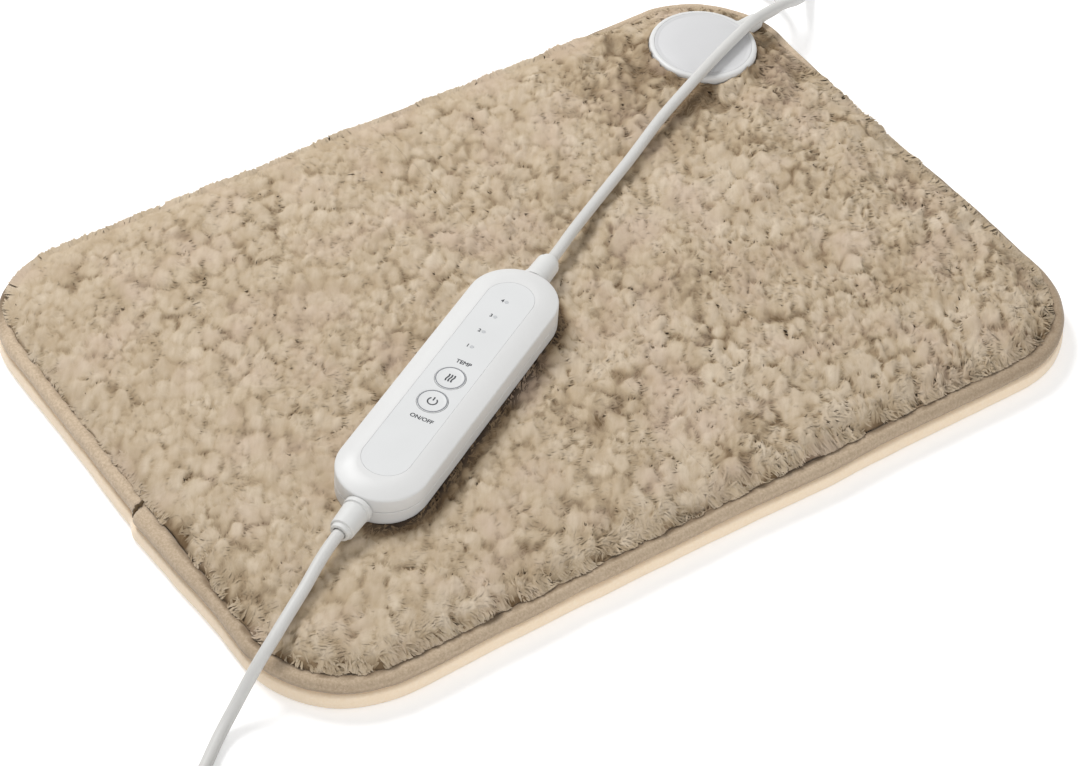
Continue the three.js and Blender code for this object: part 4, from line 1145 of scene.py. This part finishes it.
# Where a painted shadow lies beside the lead, and how far it spreads
SHADED_SPOT = (146.0, 74.0)
SHADED_SPOT_SPREAD = 50
NOTCH_DEPTH = 1.5
HUG_HEIGHT, HUG_LUMPS = 1.9, 1.6
# How much painted shade each mark takes off the plush's tone: the crease along the front hem, the
# notches there, the shadows of the controller and the lead, and a shadowed spot beside the lead
SHADES = {"hem": 0.75, "notch": 0.5, "controller": 0.95, "spot_shadow": 1.2, "lead": 0.5}
# How much further the painted shadow darkens close to the controller, below a crease's tone
EXTRA_CONTROLLER_SHADOW = 0.3
LOCK_SPACING = 1.45
LOCK_LENGTH = 4.5
LOCK_WIDTH = 1.05
LOCKS_PER_PIECE = 18000
POINTS_PER_LOCK = 7
PROUD_LOCKS, PROUD_LIFT = 0.985, 0.3
LOCK_BED, LOCK_RIDGE = 0.1, 0.3
ROOT_DEPTH = 0.4
# Painted shade at a lock's root, rising to painted light at its tip
ROOT_PAINTED_SHADE, PAINTED_LIGHT_RISE, TIP_PAINTED_LIGHT = -0.11, 0.16, 0.05

tuft_random = np.random.default_rng(41).random((8, TUFT_TABLE, TUFT_TABLE))


def tuft_value(kind, i, j):
    return tuft_random[kind, i % TUFT_TABLE, j % TUFT_TABLE]


def tuft_centre(i, j):
    x = (i + 0.5 * (j % 2) + TUFT_JITTER * (2 * tuft_value(0, i, j) - 1)) * TUFT_PITCH
    y = j * TUFT_ROW + TUFT_JITTER * (2 * tuft_value(1, i, j) - 1) * TUFT_PITCH
    return x, y


def tuft_lean(i, j):
    """The way that a tuft's locks point."""
    x, y = tuft_centre(i, j)
    slow = noise(x, y, 60, 21) * 2 - 1
    return NAP_HEADING + 1.3 * slow + 1.1 * (2 * tuft_value(2, i, j) - 1)


def combed(x, y):
    """Places in a frame that runs with the nap, in which the longish tufts are round."""
    along, across = turned(x, y, NAP_HEADING)
    return along / TUFT_LENGTH, across / TUFT_WIDTH


def nearest_tufts(x, y):
    """Each point's nearest tuft, its distance, and how much further the next two are."""
    x, y = combed(x, y)
    warp_x = x + 5 * wobble(x, y, 6.5, 31) + 2 * wobble(x, y, 2.1, 39)
    warp_y = y + 5 * wobble(x, y, 6.5, 32) + 2 * wobble(x, y, 2.1, 40)
    row = np.round(warp_y / TUFT_ROW).astype(int)
    best, second, third = (np.full(x.shape, np.inf) for _ in range(3))
    best_i, best_j = np.zeros(x.shape, int), np.zeros(x.shape, int)
    for dj in (-1, 0, 1):
        j = row + dj
        column = np.round(warp_x / TUFT_PITCH - 0.5 * (j % 2)).astype(int)
        for di in (-1, 0, 1):
            i = column + di
            centre_x, centre_y = tuft_centre(i, j)
            gap = np.hypot(warp_x - centre_x, warp_y - centre_y)
            closer = gap < best
            third = np.minimum(third, np.maximum(second, gap))
            second = np.where(closer, best, np.minimum(second, gap))
            best_i, best_j = np.where(closer, i, best_i), np.where(closer, j, best_j)
            best = np.where(closer, gap, best)
    return best_i, best_j, best, second - best, third - best


def crown(x, y):
    """The plush's overall height, from its hem to the middle of the pad."""
    share = np.clip(-past_hem(x, y) / PLUSH_SHOULDER, 0, 1)
    rise = np.interp(share, INSET_SHARES, RISE_SHARES)
    return HEM_TOP + rise * (PLUSH_TOP - HEM_TOP)


def sampled(route):
    """A cord's route in shorter steps."""
    return [[a + (b - a) * k / 8 for a, b in zip(start, end)]
            for start, end in zip(route[:-1], route[1:]) for k in range(8)]


# The stretches of the cords that lie over the pad
CORD_POINTS = np.array(sampled(PAD_LEAD_ROUTE[:16]) + sampled(PAD_LEAD_ROUTE[-8:])
                       + sampled(MAINS_LEAD_ROUTE[:12]))
OPEN_HEIGHT = 40
CORD_CLEARANCE = 0.2


def roof(x, y):
    """The height that the plush stays under: the underside of all that lies on it."""
    outside, (u, v) = outside_controller(x, y), in_controller_frame(x, y)
    under_edge = CONTROLLER_FLOOR - FIT + 3 * np.clip(1 + outside / 3, 0, 1) ** 2
    height = np.where(outside < 0, under_edge, OPEN_HEIGHT)
    boots = (np.abs(u) < BOOT_REACH + 1) & (np.abs(v) < BOOT_RADIUS)
    under_boot = np.sqrt(np.maximum(BOOT_RADIUS ** 2 - v ** 2, 0))
    under_boot = CONTROLLER_FLOOR + BOOT_AXIS - under_boot - FIT
    height = np.where(boots, np.minimum(height, under_boot), height)
    reach = CORD_RADIUS + CORD_CLEARANCE
    for start in range(0, len(CORD_POINTS), 24):
        part = CORD_POINTS[start:start + 24]
        near = (x > part[:, 0].min() - reach) & (x < part[:, 0].max() + reach)
        near &= (y > part[:, 1].min() - reach) & (y < part[:, 1].max() + reach)
        if not near.any():
            continue
        gap = np.hypot(x[near][:, None] - part[:, 0], y[near][:, None] - part[:, 1])
        nearest = gap.argmin(axis=1)
        gap = gap.min(axis=1)
        under = part[nearest, 2] - np.sqrt(np.maximum(reach ** 2 - gap ** 2, 0)) - 0.1
        height[near] = np.minimum(height[near], np.where(gap < reach, under, height[near]))
    hub_gap = from_hub(x, y)
    height = np.where(hub_gap < HUB_RADIUS + FIT, np.minimum(height, HUB_RIM_FLOOR - 0.6), height)
    return np.where(hub_gap < HUB_BASE_RADIUS + FIT, PLUSH_FLOOR - 1, height)


def nap(x, y):
    """How loose the plush lies: flat on the left, fuller on the right, in front and by the hub."""
    slow = 0.38 * smooth_step(x - 0.6 * y, -160, 200) + 0.3 * wobble(x, y, 70, 37)
    beside_hub = smooth_step(-from_hub(x, y), -85, -35)
    combed_over = overhang(x, y) * smooth_step(plush_edge(x, y)[0], -14, -4)
    front = 0.45 * at_front(x, y, 40) * (0.3 + 0.7 * smooth_step(x, -190, -50))
    return (0.6 + slow + front + 0.3 * beside_hub) * (1 - 0.4 * combed_over)


def dents(x, y, loose, seed):
    """Each point's tuft, 0 to 1 from its seam inward, and how far the ground sinks there."""
    i, j, gap, spare, further = nearest_tufts(x, y)
    side = smooth_step(spare, 0, CREASE_WIDTH)
    seam = 0.12 + 0.5 * smooth_step(noise(x, y, 9, seed), 0.5, 0.95)
    rare = smooth_step(noise(x, y, 7, seed + 1) + 0.25 * (loose - 0.9), 0.5, 0.85)
    pit = (1 - np.clip(further / PIT_WIDTH, 0, 1)) ** 2 * (0.2 + 1.4 * rare)
    return i, j, side, (seam * (1 - side) + pit) * loose + 0.2 * (gap / TUFT_PITCH * 2) ** 2


def strands(x, y):
    """Fine ridges that run with the nap and bend a little, 0 to 1."""
    along, across = turned(x, y, NAP_HEADING)
    along = along + 6 * wobble(x, y, 13, 61)
    across = across + 6 * wobble(x, y, 10, 62)
    return noise(along / 3, across, 2, 63)


def ground(x, y, fine=True):
    """The plush's height and its painted shade: 1 on a tuft, 0 in a crease, below 0 in the deepest
    shade.
    """
    loose = nap(x, y)
    i, j, side, sunk = dents(x, y, loose, 35)
    _, _, _, small_sunk = dents(x * SMALL_TUFTS + 300, y * SMALL_TUFTS + 200, loose, 48)
    mixed = 0.65 * smooth_step(noise(x, y, 17, 50), 0.35, 0.75)
    dome = 1 - sunk * (1 - mixed) - small_sunk * mixed
    flat_x, flat_y = combed(x, y)
    centre_x, centre_y = tuft_centre(i, j)
    lean = tuft_lean(i, j) - NAP_HEADING
    ahead = (flat_x - centre_x) * np.cos(lean) + (flat_y - centre_y) * np.sin(lean)
    tall = 1.4 * (tuft_value(3, i, j) - 0.5) * side + 2 * wobble(x, y, 34, 33)
    tall = (tall + (3.4 + 0.9 * smooth_step(loose, 0.6, 1)) * wobble(flat_x, flat_y, 11, 45)
            + 0.8 * wobble(flat_x, flat_y, 5, 46)) * loose
    tilt = ahead * side * loose
    ridge = (strands(x, y) - 0.5) * (loose - 0.4)
    height = crown(x, y) - CREASE_DEPTH * np.minimum(1 - dome, 0.75)
    height = height + 0.1 * tilt + 0.9 * ridge + tall
    if fine:
        height += 0.15 * wobble(x, y, 1.9, 34) * loose
    edge, front = past_hem(x, y), at_front(x, y)
    # Along the front edge: notches that dip, with painted shade in them and in the crease by the
    # binding
    notch = smooth_step(0.52 - noise(x, y, 6, 51), 0, 0.25) * smooth_step(edge, -6, -1) * front
    hem = smooth_step(edge + 3 * wobble(x, y, 4, 65), -3, -0.6) * front
    hub_gap = from_hub(x, y) - HUB_RADIUS
    hug = smooth_step(-hub_gap, -9, -1) * smooth_step(-edge, 2, 14)
    height = height - NOTCH_DEPTH * notch + (HUG_HEIGHT + HUG_LUMPS * noise(x, y, 6, 64)) * hug
    # Random patches of tone, and a tone that darkens towards the hub
    by_hub = smooth_step(-hub_gap, -80, -5)
    patch = (0.55 + 0.35 * by_hub) * wobble(x, y, 17, 66)
    patch = (patch + 0.25 * wobble(x, y, 33, 68)) * smooth_step(loose, 0.5, 1)
    patch = patch - 0.18 * by_hub - 0.1 * smooth_step(-hub_gap, -35, -5)
    # Painted shadow along the controller's right side
    controller_shadow = beside_controller(x, y)
    # A painted shadow in one spot beside the lead, near the hub
    spot_shadow = np.exp(-((x - SHADED_SPOT[0]) ** 2 + (y - SHADED_SPOT[1]) ** 2) / SHADED_SPOT_SPREAD)
    # Painted shade in the seams and pits, painted light on tuft tops, on the side that each tuft
    # leans to and on strand ridges, and lighter where the nap is fuller
    shade = 0.94 * dome + 0.025 * tilt + 0.3 * ridge + 0.16 * (loose - 0.6) + patch
    shaded = {"hem": hem, "notch": notch, "controller": controller_shadow, "spot_shadow": spot_shadow,
              "lead": beside_lead(x, y)}
    for kind, weight in SHADES.items():
        shade = shade - weight * shaded[kind]
    # Where the nap combs out over the far edges, the ground is painted light, with no crease shade
    combed_over = overhang(x, y) * smooth_step(edge, -12, -4)
    shade = np.clip(np.maximum(shade, 0.7 * combed_over), 0, 1)
    # Close to the controller its painted shadow goes darker than any crease
    return height, shade - EXTRA_CONTROLLER_SHADOW * controller_shadow ** 2


def soft_normals(x, y):
    """The directions that the plush's ground faces, for the locks to be shaded by."""
    step = 0.7
    slope_x = (ground(x + step, y, False)[0] - ground(x - step, y, False)[0]) / (2 * step)
    slope_y = (ground(x, y + step, False)[0] - ground(x, y - step, False)[0]) / (2 * step)
    normal = np.stack([-slope_x, -slope_y, np.ones_like(x)], axis=-1)
    return normal / np.linalg.norm(normal, axis=1)[:, None]


def add_attribute(mesh, name, values):
    layer = mesh.attributes.new(name, "FLOAT", "POINT")
    layer.data.foreach_set("value", np.asarray(values, np.float32))


def make_ground(name, first_x, last_x):
    """One side of the plush's ground: a fine grid, cut to the outline, with a skirt and a floor."""
    xs = np.linspace(first_x, last_x, int((last_x - first_x) / GROUND_STEP) + 1)
    half_y = PAD_HALF[1] - PLUSH_INSET
    ys = np.linspace(-half_y, half_y, int(2 * half_y / GROUND_STEP) + 1)
    x, y = np.meshgrid(xs, ys, indexing="ij")
    x, y = x.ravel(), y.ravel()
    height, depth = ground(x, y)
    height = np.maximum(np.minimum(height, roof(x, y)), PLUSH_FLOOR + 0.2)
    outside, out_x, out_y = plush_edge(x, y)
    kept = outside < GROUND_STEP
    push = np.maximum(outside, 0)
    flat_x, flat_y = x - push * out_x, y - push * out_y
    height = np.where(outside > -GROUND_STEP / 3, binding_top(flat_x, flat_y) + 0.03, height)
    swell = bulge(flat_x, flat_y)
    x, y = flat_x + out_x * swell, flat_y + out_y * swell
    quads = np.array(grid_faces(len(xs), len(ys), False, False))
    quads = quads[kept[quads].all(axis=1)]
    used = np.unique(quads)
    renumber = np.full(len(x), -1)
    renumber[used] = np.arange(len(used))
    points = np.column_stack([x, y, height])[used]
    piece = add_mesh(name, points, renumber[quads].tolist(), "pile")
    # The ground's painted shade and light, per point
    add_attribute(piece.data, "painted_pile_shade", depth[used])
    i, j = nearest_tufts(flat_x[used], flat_y[used])[:2]
    add_attribute(piece.data, "tuft_tone", tuft_value(4, i, j))

    mesh = bmesh.new()
    mesh.from_mesh(piece.data)
    # The edge turns in over the binding, then straight down
    for fall in (0.05, None):
        rim = [edge for edge in mesh.edges if edge.is_boundary]
        skirt = bmesh.ops.extrude_edge_only(mesh, edges=rim)["geom"]
        for corner in (item for item in skirt if isinstance(item, bmesh.types.BMVert)):
            past, out_x, out_y = plush_edge(*np.array(corner.co[:2]) / MM)
            corner.co.x -= max(past, 0) * out_x * MM
            corner.co.y -= max(past, 0) * out_y * MM
            corner.co.z = corner.co.z - fall * MM if fall else (PLUSH_FLOOR + 0.1) * MM
    bmesh.ops.holes_fill(mesh, edges=[edge for edge in mesh.edges if edge.is_boundary], sides=0)
    bmesh.ops.recalc_face_normals(mesh, faces=mesh.faces)
    mesh.to_mesh(piece.data)
    mesh.free()
    dress(piece, "plush_pile", "plush_top")


def binding_top(x, y):
    """The height of the binding's top beside each point."""
    past = to_outline(x, y, PAD_HALF, PAD_CORNER)
    _, out_x, out_y = plush_edge(x, y)
    return BINDING_TOP + binding_lift(np.column_stack([x - past * out_x, y - past * out_y]))


def edge_clumps(x, y):
    return noise(x, y, 5, 51)


def bulge(x, y):
    """How far the plush swells out over the binding, in clumps along its edge."""
    over_binding = overhang(x, y)
    most = 0.3 + 1.6 * edge_clumps(x, y) * (1 - 0.6 * over_binding) + 2 * over_binding
    return most * smooth_step(plush_edge(x, y)[0], -3.5 - 3 * over_binding, -0.9)


def lock_roots():
    """Where each lock starts, its own random numbers, and 1 for the extra locks along the edges."""
    half = PAD_HALF - PLUSH_INSET
    found = []
    for seed, spacing in ((43, LOCK_SPACING), (44, LOCK_SPACING / 2)):
        xs = np.arange(-half[0], half[0], spacing)
        ys = np.arange(-half[1], half[1], spacing)
        x, y = (line.ravel() for line in np.meshgrid(xs, ys, indexing="ij"))
        own = np.random.default_rng(seed).random((8, len(x)))
        x, y = x + spacing * own[0], y + spacing * own[1]
        edge, _, _ = plush_edge(x, y)
        clear = (edge < -0.3) & (outside_controller(x, y) > 0.4)
        clear &= from_hub(x, y) > HUB_RADIUS + 0.7
        fringe = spacing < LOCK_SPACING
        if fringe:
            clumped = (edge < -1.2) & (edge_clumps(x, y) > 0.42)
            clear &= (edge > -4) & ((overhang(x, y) > 0.3) | clumped)
        found.append((x[clear], y[clear], own[:, clear], np.full(clear.sum(), float(fringe))))
    return (np.concatenate(parts, axis=-1) for parts in zip(*found))


def make_locks():
    """Small pointed locks of pile, each of two three-cornered rings and a tip."""
    x, y, own, fringe = lock_roots()
    i, j = nearest_tufts(x, y)[:2]
    flat_x, flat_y = combed(x, y)
    centre_x, centre_y = tuft_centre(i, j)
    around = np.arctan2(flat_y - centre_y, flat_x - centre_x) + NAP_HEADING
    lean = tuft_lean(i, j)
    ahead_x = np.cos(lean) + 0.55 * np.cos(around) + 0.6 * (own[2] - 0.5)
    ahead_y = np.sin(lean) + 0.55 * np.sin(around) + 0.6 * (own[3] - 0.5)
    # At the far edges the locks comb out over the binding, and at the near ones back from it
    edge, out_x, out_y = plush_edge(x, y)
    over_binding = overhang(x, y)
    rim = np.clip(1 + edge / 7, 0, 1)
    tufted = (4 * (noise(x, y, 6, 51) - 0.42) + 3 * fringe) * (1 - over_binding) * rim
    comb = 2.4 * over_binding * rim
    ahead_x = ahead_x + tufted * out_x + comb * (0.4 * out_x + 0.6 * math.cos(OVERHANG_HEADING))
    ahead_y = ahead_y + tufted * out_y + comb * (0.4 * out_y + 0.6 * math.sin(OVERHANG_HEADING))
    norm = np.hypot(ahead_x, ahead_y)
    ahead_x, ahead_y = ahead_x / norm, ahead_y / norm
    length = LOCK_LENGTH * (0.65 + 0.7 * own[4]) * (1 + rim * (0.9 * over_binding - 0.2))
    length *= 1 + rim * over_binding * wobble(x, y, 9, 47)
    base, _ = ground(x, y)
    loose = nap(x, y)
    proud = np.where(own[5] > PROUD_LOCKS, PROUD_LIFT, 0)
    lift = (0.06 + 0.14 * own[5] + proud) * (loose - 0.3)
    lift += 0.7 * own[5] * at_front(x, y)
    combed_over = over_binding * smooth_step(edge, -16, -5)
    lift *= 1 - 0.7 * combed_over
    own_share = (0.08 + 0.12 * np.maximum(loose - 0.6, 0)) * (1 - 0.6 * over_binding * rim)
    own_share = own_share[:, None]
    bridge = (0.1 + 0.24 * own[5] ** 2) * (1 - 0.7 * combed_over)
    limit = -0.3 + 3.5 * over_binding + 1.5 * noise(x, y, 5, 52) * (1 - 0.5 * over_binding)
    droop = 1.2 + 2.2 * (1 - over_binding)
    curl = 1.6 * (own[6] - 0.5)
    width = LOCK_WIDTH * (0.7 + 0.6 * own[7]) * (1 + 0.7 * rim * over_binding)
    side = np.stack([-ahead_y, ahead_x, np.zeros_like(x)], axis=-1)
    rings, shading, lock_shades = [], [], []
    for share, wide in ((0, 0.8), (0.5, 1.0), (1, 0)):
        line_x = x + ahead_x * length * share - ahead_y * curl * share ** 2
        line_y = y + ahead_y * length * share + ahead_x * curl * share ** 2
        under, dome = ground(line_x, line_y)
        over = np.maximum(under, np.minimum(base, under + bridge))
        past, out_x, out_y = plush_edge(line_x, line_y)
        excess = np.maximum(past - limit * share, 0)
        line_x, line_y, past = line_x - excess * out_x, line_y - excess * out_y, past - excess
        hub_gap = from_hub(line_x, line_y)
        clear = np.maximum(HUB_RADIUS + 0.4 - hub_gap, 0) / hub_gap
        line_x, line_y = line_x + (line_x - HUB[0]) * clear, line_y + (line_y - HUB[1]) * clear
        # Painted shade and light on the locks: never darker than a floor except in the controller's
        # shadow, and lighter where they comb out over the far edges, along the front edge and in
        # the edge fringe, most towards the tips
        dome = np.maximum(dome, 0.1 + 0.15 * own[5] - 0.4 * beside_controller(line_x, line_y))
        dome = np.where(past > -4, np.maximum(dome, 0.85 * over_binding), dome)
        front = (0.2 + 0.5 * share + 0.25 * own[5]) * at_front(line_x, line_y, 8)
        dome = np.maximum.reduce([dome, (0.55 + 0.4 * share) * fringe, front])
        band = binding_top(line_x, line_y)
        over = np.where(past > -1, np.maximum(over, band + 0.2), over)
        hanging = np.maximum(band + 0.12 + 0.4 * (1 - share),
                             base - droop * share - 0.25 * past)
        over = np.where(past > 0, hanging, over)
        # The root lies below the ground, so that its blunt end doesn't show
        arch = math.sin(math.pi * (0.1 + 0.8 * share))
        line_z = over + 0.02 - ROOT_DEPTH * (1 - share) ** 2 + lift * arch
        line_z = np.minimum(line_z, roof(line_x, line_y) - 0.1)
        outer = np.maximum(past, 0)
        swell = bulge(line_x - outer * out_x, line_y - outer * out_y)
        line = np.stack([line_x + swell * out_x, line_y + swell * out_y, line_z], axis=-1)
        # A lock lies on the ground's slope and is shaded as the ground is, so it shows faintly
        back = np.maximum(past + 4 + 5 * over_binding, 0)
        up = soft_normals(line_x - back * out_x, line_y - back * out_y)
        flat = side - up * (side * up).sum(axis=1)[:, None]
        flat /= np.linalg.norm(flat, axis=1)[:, None]
        half = (width * wide / 2)[:, None]
        if wide:
            bed = up * LOCK_BED
            rings += [line - flat * half - bed, line + flat * half - bed,
                      line + up * half * LOCK_RIDGE]
            shading += [up - own_share * flat, up + own_share * flat, up]
            # Painted shade at the root, lighter towards the tip
            lock_shades += [dome + ROOT_PAINTED_SHADE + PAINTED_LIGHT_RISE * share] * 3
        else:
            rings.append(line)
            shading.append(up)
            lock_shades.append(dome + TIP_PAINTED_LIGHT)
    points, shading, depth = (np.stack(parts, axis=1) for parts in (rings, shading, lock_shades))
    quads = np.array([(0, 1, 4, 3), (1, 2, 5, 4), (2, 0, 3, 5)])
    triangles = np.array([(0, 2, 1), (3, 4, 6), (4, 5, 6), (5, 3, 6)])
    tone = np.clip(tuft_value(4, i, j) * 0.6 + own[2] * 0.5, 0, 1)
    for part, start in enumerate(range(0, len(x), LOCKS_PER_PIECE)):
        chosen = slice(start, start + LOCKS_PER_PIECE)
        block = points[chosen]
        count = len(block)
        first = np.arange(count)[:, None, None] * POINTS_PER_LOCK
        faces = (quads + first).reshape(-1, 4).tolist()
        faces += (triangles + first).reshape(-1, 3).tolist()
        piece = add_mesh(f"pile_locks_{part + 1}", block.reshape(-1, 3), faces, "pile")
        piece.data.normals_split_custom_set_from_vertices(shading[chosen].reshape(-1, 3).tolist())
        # The locks' painted shade and light, per point
        add_attribute(piece.data, "painted_pile_shade", depth[chosen].ravel())
        add_attribute(piece.data, "tuft_tone", np.repeat(tone[chosen], POINTS_PER_LOCK))
        dress(piece, "plush_pile")


def make_plush():
    half_x = PAD_HALF[0] - PLUSH_INSET
    make_ground("plush_ground_left", -half_x, 0)
    make_ground("plush_ground_right", 0, half_x)
    make_locks()


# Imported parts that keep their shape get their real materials

NODE_MATERIALS = {
    "heating_wire": "wire", "thermostat_": "dark", "hub_board": "board",
    "hub_thermal_fuse": "ceramic", "hub_tail": "cord", "hub_screw": "steel",
    "controller_screw": "steel", "_plunger": "dark", "_switch": "dark", "light_pipe": "clear",
    "indicator_led": "amber", "control_board": "board", "_terminal": "dark", "triac": "dark",
    "capacitor": "amber", "microcontroller": "dark", "board_fuse": "ceramic", "_tail": "cord",
}


def dress_nodes():
    """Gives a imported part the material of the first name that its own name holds."""
    for name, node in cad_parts.items():
        for part, material in NODE_MATERIALS.items():
            if part in name:
                for slot in node.material_slots:
                    slot.material = MATERIALS[material]
                break


make_camera()
make_light()
make_floor()
make_cords()
make_controller()
make_buttons()
make_print()
make_boots()
make_hub()
make_backing()
make_binding()
make_lap_shadow()
make_filling()
make_plush()
dress_nodes()
